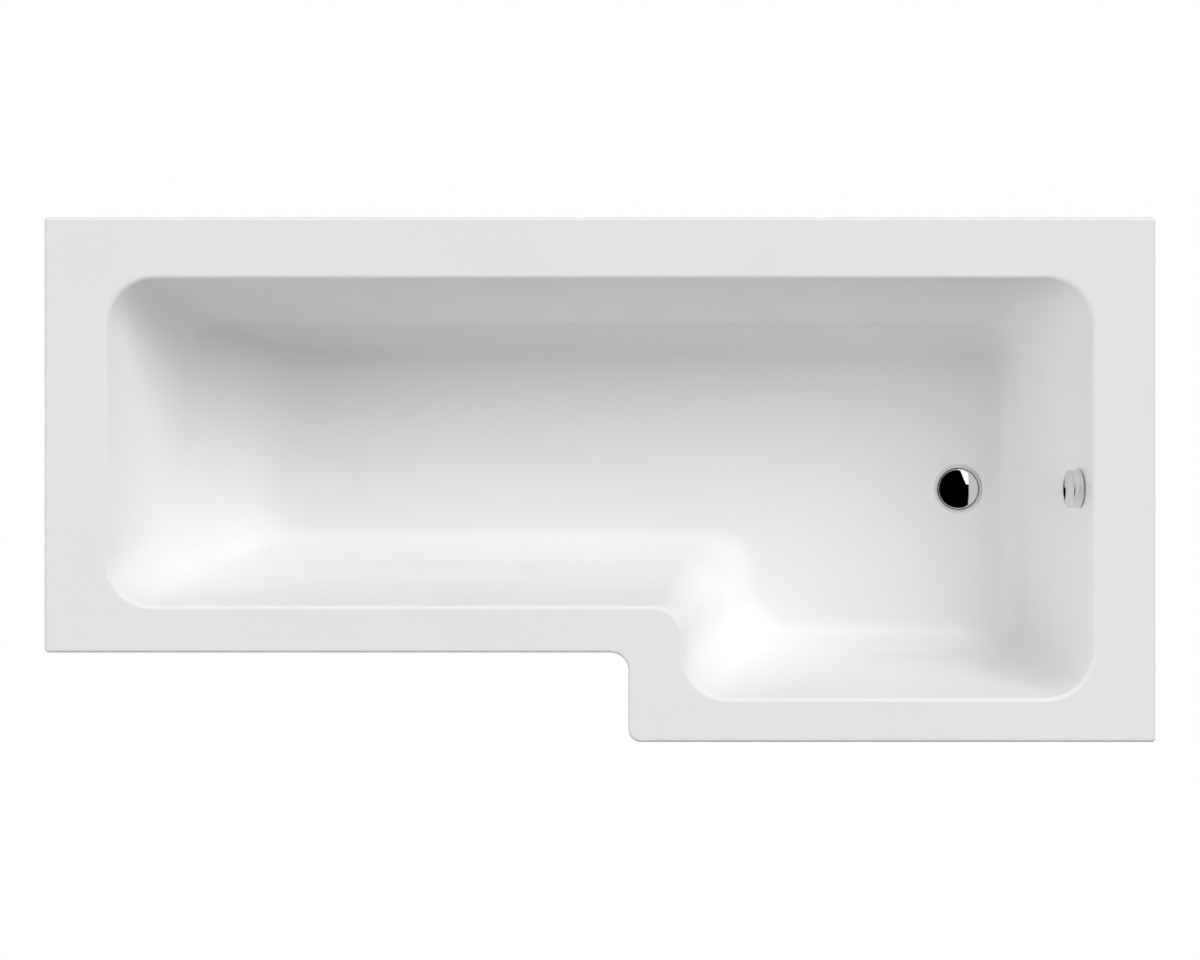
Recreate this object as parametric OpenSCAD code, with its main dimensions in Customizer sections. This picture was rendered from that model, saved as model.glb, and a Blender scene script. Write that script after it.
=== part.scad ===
// L-shaped acrylic shower bath with a pop-up waste worked by the overflow knob.
// +X points to the waste end, +Y to the wall, +Z up; the floor is at z = 0 and the bath is centred on it.

/* [Outline] */
// Overall length along the wall
bath_l = 1800; // [1760:1:1900]
// Overall width of the shower end
wide_w = 850; // [835:1:900]
// Overall width of the bathing end
narrow_w = 705; // [690:1:720]
// Length of the wide shower end
shower_l = 854; // [830:1:900]
// Height of the rim above the floor
rim_h = 560; // [545:1:600]
// Depth of the well below the rim
well_depth = 400; // [385:1:405]
// Thickness of the acrylic with its backing
shell_t = 6; // [5:0.5:7]

/* [Rim] */
// Rim width on the wall side
ledge_wall = 96.5; // [90:0.5:105]
// Rim width at the backrest end
ledge_head = 99; // [90:0.5:110]
// Rim width at the waste end
ledge_tap = 99; // [92:0.5:110]
// Rim width along the narrow front
ledge_narrow = 73; // [68:0.5:80]
// Rim width along the wide front
ledge_wide = 68; // [64:0.5:76]
// Rim width at the step
ledge_step = 86; // [78:0.5:95]
// Height of the lip that hangs from the rim
lip_h = 40; // [34:1:50]
// Rounding between the rim and the well
rim_edge_r = 8; // [7.5:0.5:12]
// Rounding along the outer edge of the rim
outer_edge_r = 5; // [3:0.5:5.5]
// Radius of the outer corners in plan
outer_corner_r = 6; // [6:0.5:12]
// Radius of the outer corner of the shower end beside the step
outer_nose_r = 20; // [10:1:30]
// Radius of the inside corner of the outline at the step
outer_nook_r = 30; // [15:1:40]

/* [Well] */
// Slope of the backrest from upright, in degrees
backrest_slope = 23; // [20:0.5:26]
// Slope of the wall at the waste end, in degrees
tap_slope = 17; // [15:0.5:18]
// Slope of the long walls and the step, in degrees
side_slope = 11; // [9:0.5:12]
// Curve at the foot of the backrest
backrest_foot_r = 160; // [120:5:180]
// Curve at the foot of the other walls
wall_foot_r = 60; // [50:1:62]
// Plan radius of the well's corners at the rim
corner_rim_r = 78; // [70:1:82]
// Plan radius of the well's corners at the floor
corner_floor_r = 58; // [50:1:60]
// Plan radius at the rim of the corner that juts into the well
jut_rim_r = 44; // [38:1:46]
// Plan radius at the floor of the corner that juts into the well
jut_floor_r = 73; // [66:1:76]

/* [Board and battens] */
// Thickness of the board under the floor
board_t = 16; // [12:1:18]
// Distance from the board's edge to the foot of the walls
board_margin = 12; // [8:1:16]
// Radius of the board's corners
board_r = 45; // [30:1:50]
// Distance from the waste centre to the end of the board
board_waste_gap = 84; // [74:1:96]
// Width of the battens under the rim
batten_w = 38; // [30:1:40]
// Thickness of the battens
batten_t = 18; // [15:1:20]

/* [Legs] */
// Width of a leg rail
rail_w = 40; // [36:1:44]
// Height of a leg rail
rail_h = 25; // [22:1:30]
// Sheet thickness of the rails
rail_t = 2; // [1.5:0.5:3]
// Distance from the board's head end to the middle of the head rail
rail_head_inset = 80; // [60:1:110]
// Distance from the board's waste end to the middle of the other rail
rail_tap_inset = 30; // [28:1:40]
// Distance from the outer edges of the bath to the rail ends
rail_end_gap = 25; // [20:1:35]
// Distance from a rail's end to its foot
foot_inset = 22; // [20:1:30]
// Diameter of a foot stud
stud_d = 10; // [8:1:12]
// Diameter of a foot pad
pad_d = 50; // [44:1:60]
// Height of a pad's disc
pad_h = 9; // [7:1:12]
// Length of the centre foot's bracket
hat_l = 110; // [100:1:120]
// Travel of a foot downwards
foot_down = 20; // [10:1:20]
// Travel of a foot upwards
foot_up = 12; // [6:1:12]

/* [Waste] */
// Distance from the waste centre to the waste end of the bath
waste_from_tap = 316; // [312:1:325]
// Distance from the waste centre to the wall side of the bath
waste_from_wall = 440; // [430:1:450]
// Diameter of the chrome flange
flange_d = 70; // [68:0.5:72]
// Diameter of the plug cap
cap_d = 65; // [62:0.5:66]
// Diameter of the hole in the floor
waste_hole_d = 52; // [50:0.5:54]
// Outer diameter of the flange's tail
tail_d = 46; // [44:0.5:47]
// Outer diameter of the waste body
waste_body_d = 56; // [54:0.5:58]
// Height that the plug rises
plug_lift = 10; // [8:0.5:11]
// Diameter of the plug's stem
stem_d = 6; // [5:0.5:7]

/* [Trap] */
// Bore of the trap's tube
trap_bore = 38; // [36:0.5:39]
// Wall of the trap's tube
trap_wall = 2.5; // [2:0.25:3]
// Bend radius of the trap's tube
trap_bend_r = 30; // [28:0.5:31]
// Height of the trap above the floor
trap_clear = 12; // [9:1:14]
// Diameter of the waste pipe that the outlet takes
pipe_d = 43; // [40:0.5:43]

/* [Overflow] */
// Depth of the overflow's centre below the rim
overflow_depth = 68; // [62:1:74]
// Diameter of the overflow hole
overflow_hole_d = 46; // [44:0.5:47]
// Diameter of the knob
knob_d = 61.5; // [60:0.5:64]
// Thickness of the knob
knob_t = 18; // [16:0.5:20]
// Rounding round the knob's face
knob_edge_r = 6; // [3:0.5:7]
// Gap between the knob and the wall
knob_gap = 1.8; // [1.2:0.1:2.4]
// Turn of the knob from shut to open, in degrees
knob_turn = 90; // [80:5:100]
// Diameter of the knob's spindle
spindle_d = 8; // [7:0.5:9]
// Radius on which the cable winds
drum_r = 8; // [7:0.5:9]

/* [Hose and cable] */
// Bore of the overflow hose
hose_bore_d = 22; // [21:0.5:23]
// Wall of the hose between its ribs
hose_wall = 1.8; // [1.5:0.1:2.2]
// Height of a rib
rib_h = 2; // [1:0.25:2.5]
// Distance from rib to rib
rib_pitch = 6; // [5:0.5:8]
// Bend radius of the hose
hose_bend_r = 80; // [74:1:82]
// Diameter of the cable's sheath
cable_d = 6; // [5:0.5:7]
// Bend radius of the cable
cable_bend_r = 70; // [60:1:80]

/* [Hidden] */
$fn = 96;
FEET = ["head_wall", "head_room", "tap_wall", "tap_room", "centre"];

// Clearances shared by all pieces
cut_over = 1;
run_gap = 0.06;
slip_gap = 0.3;

// Outer lines of the bath
head_out = -bath_l / 2;
tap_out = bath_l / 2;
wall_out = wide_w / 2;
wide_out = -wide_w / 2;
narrow_out = wall_out - narrow_w;
step_out = tap_out - shower_l;

// Heights of the shell
floor_z = rim_h - well_depth;
under_z = floor_z - shell_t;
rim_under_z = rim_h - shell_t;
lip_z = rim_h - lip_h;

// One entry for each side of the well: the axis its line is on (0 for x, 1 for y), the outer line,
// the rim width, the inward direction, the slope and the curve at its foot
HEAD = [0, head_out, ledge_head, 1, backrest_slope, backrest_foot_r];
TAP = [0, tap_out, ledge_tap, -1, tap_slope, wall_foot_r];
STEP = [0, step_out, ledge_step, 1, side_slope, wall_foot_r];
WALL = [1, wall_out, ledge_wall, -1, side_slope, wall_foot_r];
NARROW = [1, narrow_out, ledge_narrow, 1, side_slope, wall_foot_r];
WIDE = [1, wide_out, ledge_wide, 1, side_slope, wall_foot_r];

// Corners in the order of a walk with the well on the left: the side on x, the side on y,
// the start angle of its arc, its sweep, and its outer and inner plan radii
CORNERS = [
    [HEAD, WALL, 90, 90, outer_corner_r, corner_rim_r, corner_floor_r],
    [HEAD, NARROW, 180, 90, outer_corner_r, corner_rim_r, corner_floor_r],
    [STEP, NARROW, 90, -90, outer_nook_r, jut_rim_r, jut_floor_r],
    [STEP, WIDE, 180, 90, outer_nose_r, corner_rim_r, corner_floor_r],
    [TAP, WIDE, 270, 90, outer_corner_r, corner_rim_r, corner_floor_r],
    [TAP, WALL, 0, 90, outer_corner_r, corner_rim_r, corner_floor_r]
];
corner_steps = 8;
edge_steps = 4;
foot_steps = 7;
outer_steps = 4;
least_r = 1;

// A wall's section starts on the rim, this far outside its line
edge_back = rim_edge_r / 2;
LAST_LEVEL = edge_steps + 1 + foot_steps;

// Inward run of a wall from its rim line to the flat floor
function run_of(side) =
    let (a = side[4], r = side[5])
    -edge_back + rim_edge_r * cos(a) + r * cos(a)
        + (well_depth - (r + rim_edge_r) * (1 - sin(a))) * tan(a);

// Inward offset and depth of a wall at a level, on the inner face (skin 0) or the outer face (skin shell_t)
function section(side, level, skin) =
    let (
        a = side[4],
        r = side[5],
        turn = level <= edge_steps
            ? (90 - a) * level / edge_steps
            : a + (90 - a) * (level - edge_steps - 1) / foot_steps
    )
    level <= edge_steps
        ? [-edge_back + (rim_edge_r - skin) * sin(turn), rim_edge_r - (rim_edge_r - skin) * cos(turn)]
        : [run_of(side) - (r + skin) * cos(turn), well_depth - r + (r + skin) * sin(turn)];

function smooth(t) = t * t * (3 - 2 * t);

// Points of one corner, given the place and height of the lines of both sides
function corner_points(c, i, x, y, zx, zy, r) =
    let (
        inside = c[3] > 0 ? 1 : -1,
        cx = x + c[0][3] * inside * r,
        cy = y + c[1][3] * inside * r
    )
    [for (k = [0:corner_steps])
        let (t = k / corner_steps, a = c[2] + c[3] * t, w = smooth(i % 2 == 0 ? t : 1 - t))
        [cx + r * cos(a), cy + r * sin(a), zx * w + zy * (1 - w)]];

function well_line(side, level, skin) =
    side[1] + side[3] * (side[2] + section(side, level, skin)[0]);

// A closed line round the well at one level
function well_ring(level, skin) = [
    for (i = [0:len(CORNERS) - 1])
        let (
            c = CORNERS[i],
            share = section(WALL, level, 0)[1] / well_depth,
            spread = section(WALL, level, 0)[0] - section(WALL, level, skin)[0],
            r = c[5] + (c[6] - c[5]) * share + (c[3] > 0 ? spread : -spread),
            zx = rim_h - section(c[0], level, skin)[1],
            zy = rim_h - section(c[1], level, skin)[1]
        )
        each corner_points(c, i, well_line(c[0], level, skin), well_line(c[1], level, skin), zx, zy, r)
];

// A closed line round the outline, drawn in by an inset, at height z
function lip_ring(inset, z) = [
    for (i = [0:len(CORNERS) - 1])
        let (
            c = CORNERS[i],
            r = c[3] > 0 ? max(c[4] - inset, least_r) : c[4] + inset,
            x = c[0][1] + c[0][3] * inset,
            y = c[1][1] + c[1][3] * inset
        )
        each corner_points(c, i, x, y, z, z, r)
];

// Faces of a skin that joins rings of equal point counts
function skin_faces(rings, sides, closed) = [
    for (i = [0:rings - (closed ? 1 : 2)], j = [0:sides - 1])
        let (
            a = i * sides,
            b = (i + 1) % rings * sides,
            n = (j + 1) % sides
        )
        each [[a + j, a + n, b + n], [a + j, b + n, b + j]]
];

waste_x = tap_out - waste_from_tap;
waste_y = wall_out - waste_from_wall;

module shell_body() {
    rings = concat(
        [for (level = [LAST_LEVEL:-1:0]) well_ring(level, 0)],
        [for (k = [0:outer_steps])
            let (a = 90 * k / outer_steps)
            lip_ring(outer_edge_r * (1 - sin(a)), rim_h - outer_edge_r * (1 - cos(a)))],
        [lip_ring(0, lip_z), lip_ring(shell_t, lip_z), lip_ring(shell_t, rim_under_z)],
        [for (level = [0:LAST_LEVEL]) well_ring(level, shell_t)]
    );
    sides = len(rings[0]);
    count = len(rings) * sides;
    points = concat([for (r = rings) each r], [[waste_x, waste_y, floor_z], [waste_x, waste_y, under_z]]);
    caps = [for (j = [0:sides - 1])
        let (n = (j + 1) % sides, last = count - sides)
        each [[count, n, j], [count + 1, last + j, last + n]]];
    polyhedron(points, concat(skin_faces(len(rings), sides, false), caps), convexity = 10);
}

module bath_shell() color("white") difference() {
    shell_body();
    at_waste(floor_z - seat_depth) cylinder(d = seat_d, h = seat_depth + cut_over);
    at_waste(under_z - cut_over) cylinder(d = waste_hole_d, h = shell_t + 2 * cut_over);
    at_overflow(-shell_t - cut_over) cylinder(d = overflow_hole_d, h = shell_t + 2 * cut_over);
}

// Foot of each wall on the flat floor
function floor_line(side) = side[1] + side[3] * (side[2] + run_of(side));

board_x0 = floor_line(HEAD) + board_margin;
board_x1 = waste_x - board_waste_gap;
board_y1 = floor_line(WALL) - board_margin;
board_z = under_z - board_t;
screw_d = 4;
screw_grip = 12;
screw_head_d = 8;
screw_head_h = 2.4;
screw_face_share = 0.7;
pilot_gap = 0.1;

module rounded_plate(x0, y0, x1, y1, r, t) linear_extrude(t) {
    translate([x0 + r, y0]) square([x1 - x0 - 2 * r, y1 - y0]);
    translate([x0, y0 + r]) square([x1 - x0, y1 - y0 - 2 * r]);
    for (x = [x0 + r, x1 - r], y = [y0 + r, y1 - r]) translate([x, y]) circle(r);
}

module base_board() color("burlywood") difference() {
    translate([0, 0, board_z]) {
        rounded_plate(board_x0, floor_line(NARROW) + board_margin, board_x1, board_y1, board_r, board_t);
        rounded_plate(floor_line(STEP) + board_margin, floor_line(WIDE) + board_margin,
            board_x1, board_y1, board_r, board_t);
    }
    for (p = concat(rail_screw_places, hat_screw_places))
        translate([p[0], p[1], board_z - cut_over])
            cylinder(d = screw_d + 2 * pilot_gap, h = screw_grip + pilot_gap + cut_over);
}

// Battens lie under the rim, against the inside of the lip
batten_gap = 3;
batten_in = shell_t + batten_gap;

module batten(x0, y0, x1, y1) color("tan")
    translate([x0, y0, rim_under_z - batten_t]) cube([x1 - x0, y1 - y0, batten_t]);

module back_batten() difference() {
    batten(head_out + batten_in, wall_out - batten_in - batten_w, tap_out - batten_in, wall_out - batten_in);
    for (p = bracket_screw_places)
        translate([p[0], p[1], rim_under_z - batten_t - cut_over])
            cylinder(d = screw_d + 2 * pilot_gap, h = screw_grip + pilot_gap + cut_over);
}

end_batten_y1 = wall_out - batten_in - batten_w - batten_gap;

module head_batten()
    batten(head_out + batten_in, narrow_out + batten_in, head_out + batten_in + batten_w, end_batten_y1);

module tap_batten()
    batten(tap_out - batten_in - batten_w, wide_out + batten_in, tap_out - batten_in, end_batten_y1);

module narrow_batten()
    batten(head_out + batten_in + batten_w + batten_gap, narrow_out + batten_in,
        step_out + batten_w, narrow_out + batten_in + batten_w);

module wide_batten()
    batten(step_out + batten_in + outer_nose_r, wide_out + batten_in,
        tap_out - batten_in - batten_w - batten_gap, wide_out + batten_in + batten_w);

// Legs
rail_head_x = board_x0 + rail_head_inset;
rail_tap_x = board_x1 - rail_tap_inset;
rail_y1 = wall_out - rail_end_gap;
rail_head_y0 = narrow_out + rail_end_gap;
rail_tap_y0 = wide_out + rail_end_gap;
stud_hole_gap = 0.5;
stud_fit_d = stud_d + 2 * run_gap;
nut_w_share = 1.7;
nut_h_share = 0.8;
nut_w = nut_w_share * stud_d;
nut_h = nut_h_share * stud_d;
pad_neck_d = 2 * stud_d;
pad_neck_h = 10;
pad_edge_r = 3;
stud_seat_z = 5;
centre_x = (board_x0 + board_x1) / 2;
centre_y = (floor_line(NARROW) + floor_line(WALL)) / 2;
hat_t = 3;
hat_flange_l = 25;
hat_w = 50;
// The bracket leaves room above its web for the nut, the travel both ways and a little to spare
hat_spare = 2;
hat_h = hat_t + nut_h + foot_down + foot_up + hat_spare;
hat_z = board_z - hat_h;

// Place of each foot and the top of the web that its nuts clamp
foot_places = [
    [rail_head_x, rail_y1 - foot_inset, board_z, rail_t],
    [rail_head_x, rail_head_y0 + foot_inset, board_z, rail_t],
    [rail_tap_x, rail_y1 - foot_inset, board_z, rail_t],
    [rail_tap_x, rail_tap_y0 + foot_inset, board_z, rail_t],
    [centre_x, centre_y, hat_z + hat_t, hat_t]
];

rail_screw_pitch = 60;
rail_screw_count = 4;
rail_screw_y0 = centre_y - (rail_screw_count - 1) * rail_screw_pitch / 2;
rail_screw_places = [
    for (x = [rail_head_x, rail_tap_x], k = [0:rail_screw_count - 1])
        [x, rail_screw_y0 + k * rail_screw_pitch]
];
hat_screw_places = [
    for (i = [-1, 1], j = [-1, 1]) [centre_x + i * (hat_l - hat_flange_l) / 2, centre_y + j * hat_w / 4]
];

module leg_rail(x, y0, feet) color("silver") difference() {
    translate([x - rail_w / 2, y0, board_z - rail_h]) cube([rail_w, rail_y1 - y0, rail_h]);
    translate([x - rail_w / 2 + rail_t, y0 - cut_over, board_z - rail_h - cut_over])
        cube([rail_w - 2 * rail_t, rail_y1 - y0 + 2 * cut_over, rail_h - rail_t + cut_over]);
    for (i = feet)
        translate([x, foot_places[i][1], board_z - rail_t - cut_over])
            cylinder(d = stud_d + 2 * stud_hole_gap, h = rail_t + 2 * cut_over);
    for (p = rail_screw_places)
        translate([p[0], p[1], board_z - rail_t - cut_over])
            cylinder(d = screw_d + 2 * pilot_gap, h = rail_t + 2 * cut_over);
}

module leg_rail_head() leg_rail(rail_head_x, rail_head_y0, [0, 1]);
module leg_rail_tap() leg_rail(rail_tap_x, rail_tap_y0, [2, 3]);

module centre_bracket() color("silver") difference() {
    translate([centre_x - hat_l / 2, centre_y - hat_w / 2, 0]) {
        for (x = [0, hat_l - hat_flange_l])
            translate([x, 0, board_z - hat_t]) cube([hat_flange_l, hat_w, hat_t]);
        for (x = [hat_flange_l - hat_t, hat_l - hat_flange_l])
            translate([x, 0, hat_z]) cube([hat_t, hat_w, hat_h]);
        translate([hat_flange_l - hat_t, 0, hat_z])
            cube([hat_l - 2 * hat_flange_l + 2 * hat_t, hat_w, hat_t]);
    }
    translate([centre_x, centre_y, hat_z - cut_over])
        cylinder(d = stud_d + 2 * stud_hole_gap, h = hat_t + 2 * cut_over);
    for (p = hat_screw_places)
        translate([p[0], p[1], board_z - hat_t - cut_over])
            cylinder(d = screw_d + 2 * pilot_gap, h = hat_t + 2 * cut_over);
}

module hex_nut(w, h, bore) difference() {
    cylinder(d = w / cos(30), h = h, $fn = 6);
    translate([0, 0, -cut_over]) cylinder(d = bore, h = h + 2 * cut_over);
}

module leg_nuts() color("gainsboro")
    for (f = foot_places, z = [f[2], f[2] - f[3] - nut_h])
        translate([f[0], f[1], z]) hex_nut(nut_w, nut_h, stud_fit_d);

module foot_pad(i) color("dimgray") translate([foot_places[i][0], foot_places[i][1], 0]) rotate_extrude()
    difference() {
        union() {
            square([pad_d / 2 - pad_edge_r, pad_h]);
            square([pad_d / 2, pad_h - pad_edge_r]);
            translate([pad_d / 2 - pad_edge_r, pad_h - pad_edge_r]) circle(pad_edge_r);
            square([pad_neck_d / 2, pad_h + pad_neck_h]);
        }
        translate([0, stud_seat_z]) square([stud_d / 2 + run_gap, pad_h + pad_neck_h]);
        translate([0, -pad_d]) square([pad_d, pad_d]);
    }

module foot_stud(i) color("gainsboro") {
    top = foot_places[i][2] + nut_h + foot_down;
    translate([foot_places[i][0], foot_places[i][1], stud_seat_z])
        cylinder(d = stud_d, h = top - stud_seat_z);
}

// A screw that points up, with the face of its head at z = 0
module wood_screw() {
    translate([0, 0, -screw_head_h])
        cylinder(d1 = screw_face_share * screw_head_d, d2 = screw_head_d, h = screw_head_h);
    cylinder(d = screw_d, h = screw_grip);
}

module rail_screws() color("gainsboro") {
    for (p = rail_screw_places) translate([p[0], p[1], board_z - rail_t]) wood_screw();
    for (p = hat_screw_places) translate([p[0], p[1], board_z - hat_t]) wood_screw();
}

// Brackets under the back batten, joggled out to the wall below the lip
bracket_t = 2;
bracket_w = 40;
bracket_drop = 40;
bracket_flange = 34;
bracket_gap = 4;
bracket_pitch = 600;
bracket_hole_d = 5.5;
bracket_top_z = rim_under_z - batten_t;
bracket_knee_z = lip_z - bracket_gap;
bracket_bend_y = wall_out - shell_t - bracket_gap;
bracket_screw_places = [
    for (i = [-1:1], j = [-1, 1])
        [i * bracket_pitch + j * bracket_w / 4, bracket_bend_y - bracket_flange / 2]
];

module wall_brackets() color("silver") for (i = [-1:1]) translate([i * bracket_pitch - bracket_w / 2, 0, 0])
    difference() {
        union() {
            translate([0, bracket_bend_y - bracket_flange, bracket_top_z - bracket_t])
                cube([bracket_w, bracket_flange, bracket_t]);
            translate([0, bracket_bend_y - bracket_t, bracket_knee_z - bracket_t])
                cube([bracket_w, bracket_t, bracket_top_z - bracket_knee_z + bracket_t]);
            translate([0, bracket_bend_y - bracket_t, bracket_knee_z - bracket_t])
                cube([bracket_w, wall_out - bracket_bend_y + bracket_t, bracket_t]);
            translate([0, wall_out - bracket_t, bracket_knee_z - bracket_drop])
                cube([bracket_w, bracket_t, bracket_drop]);
        }
        for (x = [bracket_w / 4, 3 * bracket_w / 4]) {
            translate([x, bracket_bend_y - bracket_flange / 2, bracket_top_z - bracket_t - cut_over])
                cylinder(d = screw_d + 2 * pilot_gap, h = bracket_t + 2 * cut_over);
            translate([x, wall_out + cut_over, bracket_knee_z - bracket_drop / 2])
                rotate([90, 0, 0]) cylinder(d = bracket_hole_d, h = bracket_t + 2 * cut_over);
        }
    }

module bracket_screws() color("gainsboro") for (p = bracket_screw_places)
    translate([p[0], p[1], bracket_top_z - bracket_t]) wood_screw();

// Waste, in heights from the seat in the floor down
seat_gap = 4;
seat_d = flange_d + 2 * seat_gap;
seat_depth = 2;
seat_z = floor_z - seat_depth;
flange_t = 2.4;
flange_seal_t = 1;
flange_top_z = seat_z + flange_seal_t + flange_t;
tail_wall = 2.5;
tail_len = 17;
tail_end_z = flange_top_z - tail_len;
web_t = 3;
web_h = 5;
boss_d = 2 * stem_d;
under_seal_t = 3;
body_flange_w = 14;
body_flange_d = waste_body_d + 2 * body_flange_w;
body_flange_t = 5;
body_flange_z = under_z - under_seal_t - body_flange_t;
body_wall = 3;
chamber_d = waste_body_d - 2 * body_wall;
chamber_h = 44;
chamber_z = body_flange_z + body_flange_t - chamber_h;
body_base_z = chamber_z - body_wall;
outlet_wall = 4.9;
outlet_d = trap_bore + 2 * outlet_wall;
outlet_len = 15;
outlet_z = body_base_z - outlet_len;

module at_waste(z) translate([waste_x, waste_y, z]) children();

module tube(od, id, h) difference() {
    cylinder(d = od, h = h);
    translate([0, 0, -cut_over]) cylinder(d = id, h = h + 2 * cut_over);
}

module waste_flange() color("silver") {
    at_waste(0) rotate_extrude() {
        translate([tail_d / 2 - tail_wall, tail_end_z]) square([tail_wall, tail_len]);
        translate([tail_d / 2 - tail_wall, flange_top_z - flange_t])
            square([flange_d / 2 - tail_d / 2 + tail_wall - flange_t / 2, flange_t]);
        translate([flange_d / 2 - flange_t / 2, flange_top_z - flange_t / 2]) circle(d = flange_t);
    }
    at_waste(tail_end_z) difference() {
        union() {
            for (a = [0, 90]) rotate(a)
                translate([-tail_d / 2 + tail_wall / 2, -web_t / 2, 0])
                    cube([tail_d - tail_wall, web_t, web_h]);
            cylinder(d = boss_d, h = web_h + web_t);
        }
        translate([0, 0, -cut_over]) cylinder(d = stem_d + 2 * run_gap, h = web_h + web_t + 2 * cut_over);
    }
}

module flange_seal() color("black")
    at_waste(seat_z) tube(flange_d - flange_t, tail_d + 2 * slip_gap, flange_seal_t);
module under_seal() color("black")
    at_waste(under_z - under_seal_t) tube(body_flange_d - 2 * body_wall, tail_d + 2 * slip_gap, under_seal_t);

// The rocker: one arm lifts the stem, the other hangs to the cable
pin_d = 3;
pin_l = waste_body_d;
pin_above_floor = 21;
pin_z = chamber_z + pin_above_floor;
lift_arm = 13;
pin_x = waste_x - lift_arm;
pin_boss_share = 3;
rocker_turn = 2 * asin(plug_lift / 2 / lift_arm);
cable_travel = drum_r * knob_turn * PI / 180;
pull_arm = cable_travel / (rocker_turn * PI / 180);
arm_t = 4;
arm_r = 3;
hub_r = 4.5;
cable_y = waste_y + drum_r;
cable_z = pin_z - pull_arm;

module waste_body() color("whitesmoke") difference() {
    union() {
        at_waste(body_flange_z) cylinder(d = body_flange_d, h = body_flange_t);
        at_waste(body_base_z) cylinder(d = waste_body_d, h = body_flange_z + body_flange_t - body_base_z);
        at_waste(outlet_z) cylinder(d = outlet_d, h = outlet_len + body_wall);
        along_x(waste_x, waste_y, hose_z) cylinder(d = spigot_d, h = waste_body_d / 2 + spigot_len);
        along_x(waste_x, waste_y, hose_z) cylinder(d = collar_d, h = waste_body_d / 2 + collar_t);
        along_x(waste_x, cable_y, cable_z) cylinder(d = boss_gland_d, h = waste_body_d / 2 + boss_gland_t);
        for (s = [0, 180]) at_waste(pin_z) rotate(s) translate([s == 0 ? -lift_arm : lift_arm, 0, 0])
            rotate([-90, 0, 0]) cylinder(d = pin_boss_share * pin_d, h = pin_l / 2);
    }
    at_waste(chamber_z) cylinder(d = chamber_d, h = chamber_h + cut_over);
    at_waste(outlet_z - cut_over) cylinder(d = trap_bore, h = outlet_len + body_wall + 2 * cut_over);
    along_x(waste_x, waste_y, hose_z) cylinder(d = spigot_bore, h = waste_body_d / 2 + spigot_len + cut_over);
    along_x(waste_x, cable_y, cable_z) cylinder(d = gland_d + 2 * slip_gap, h = waste_body_d);
    translate([pin_x, waste_y - pin_l / 2 - cut_over, pin_z])
        rotate([-90, 0, 0]) cylinder(d = pin_d, h = pin_l + 2 * cut_over);
}

module along_x(x, y, z) translate([x, y, z]) rotate([0, 90, 0]) children();

module rocker_pin() color("silver") translate([pin_x, waste_y - pin_l / 2, pin_z])
    rotate([-90, 0, 0]) cylinder(d = pin_d, h = pin_l);

// Drawn level, then turned to its shut position about the pin
module lifter_rocker() color("lightgray") difference() {
    translate([pin_x, waste_y, pin_z]) rotate([0, rocker_turn / 2, 0]) rotate([90, 0, 0]) {
        translate([0, 0, -drum_r - arm_t / 2]) cylinder(r = hub_r, h = drum_r + arm_t);
        translate([0, 0, -arm_t / 2]) linear_extrude(arm_t) {
            translate([0, -arm_r]) square([lift_arm, 2 * arm_r]);
            translate([lift_arm, 0]) circle(arm_r);
        }
        translate([0, 0, -drum_r - arm_t / 2]) linear_extrude(arm_t) {
            translate([-arm_r, -pull_arm]) square([2 * arm_r, pull_arm]);
            translate([0, -pull_arm]) circle(arm_r);
        }
    }
    translate([pin_x, waste_y - waste_body_d, pin_z])
        rotate([-90, 0, 0]) cylinder(d = pin_d + 2 * run_gap, h = 2 * waste_body_d);
}

// Plug
plug_seal_t = 1.6;
plug_seal_in = 2.5;
plug_seal_d = cap_d - 2 * plug_seal_in;
cap_z = flange_top_z + slip_gap + plug_seal_t;
cap_t = 2.2;
cap_edge_r = 1.1;
cap_rise = 4;
cap_core_d = 2 * stem_d;
// The stem's end clears the upper edge of the tilted arm
stem_bottom_z = pin_z - (lift_arm - stem_d / 2) * tan(rocker_turn / 2)
    + arm_r / cos(rocker_turn / 2) + slip_gap;

module plug_cap() color("gainsboro") at_waste(cap_z) {
    dome_r = (pow(cap_d / 2 - cap_edge_r, 2) + pow(cap_rise, 2)) / (2 * cap_rise);
    rotate_extrude() difference() {
        union() {
            square([cap_d / 2 - cap_edge_r, cap_t]);
            translate([cap_d / 2 - cap_edge_r, cap_t / 2]) circle(d = cap_t);
            intersection() {
                translate([0, cap_t + cap_rise - dome_r]) circle(dome_r, $fn = 360);
                translate([0, cap_t / 2]) square([cap_d / 2, cap_rise + cap_t]);
            }
        }
        translate([0, -cut_over]) square([stem_d / 2, cap_t + cut_over]);
        translate([-cap_d, -cap_d]) square([cap_d, 2 * cap_d]);
    }
}

module plug_seal() color("black") at_waste(cap_z - plug_seal_t) tube(plug_seal_d, cap_core_d, plug_seal_t);

module plug_stem() color("silver") at_waste(stem_bottom_z)
    cylinder(d = stem_d, h = cap_z + cap_t - stem_bottom_z);

stem_nut_h = 3;
head_share = 1.8;

module stem_nut() color("gold") at_waste(cap_z - plug_seal_t - stem_nut_h)
    hex_nut(head_share * stem_d, stem_nut_h, stem_d);

// Trap, in the plane across the bath through the waste
trap_d = trap_bore + 2 * trap_wall;
washer_t = 3;
trap_collar_t = 3;
trap_collar_d = outlet_d - 2 * slip_gap;
trap_top_z = outlet_z - washer_t;
trap_low_z = trap_clear + trap_d / 2 + trap_bend_r;
trap_leg = trap_top_z - trap_low_z;
trap_out_z = trap_low_z + trap_leg + trap_bend_r;
socket_wall = 3;
socket_d = pipe_d + 2 * socket_wall;
socket_len = 28;
socket_gap = 0.1;
pipe_stop = 3;
neck_len = 8;
eye_d = 30;
eye_bore = 22;
eye_len = 30;

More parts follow.
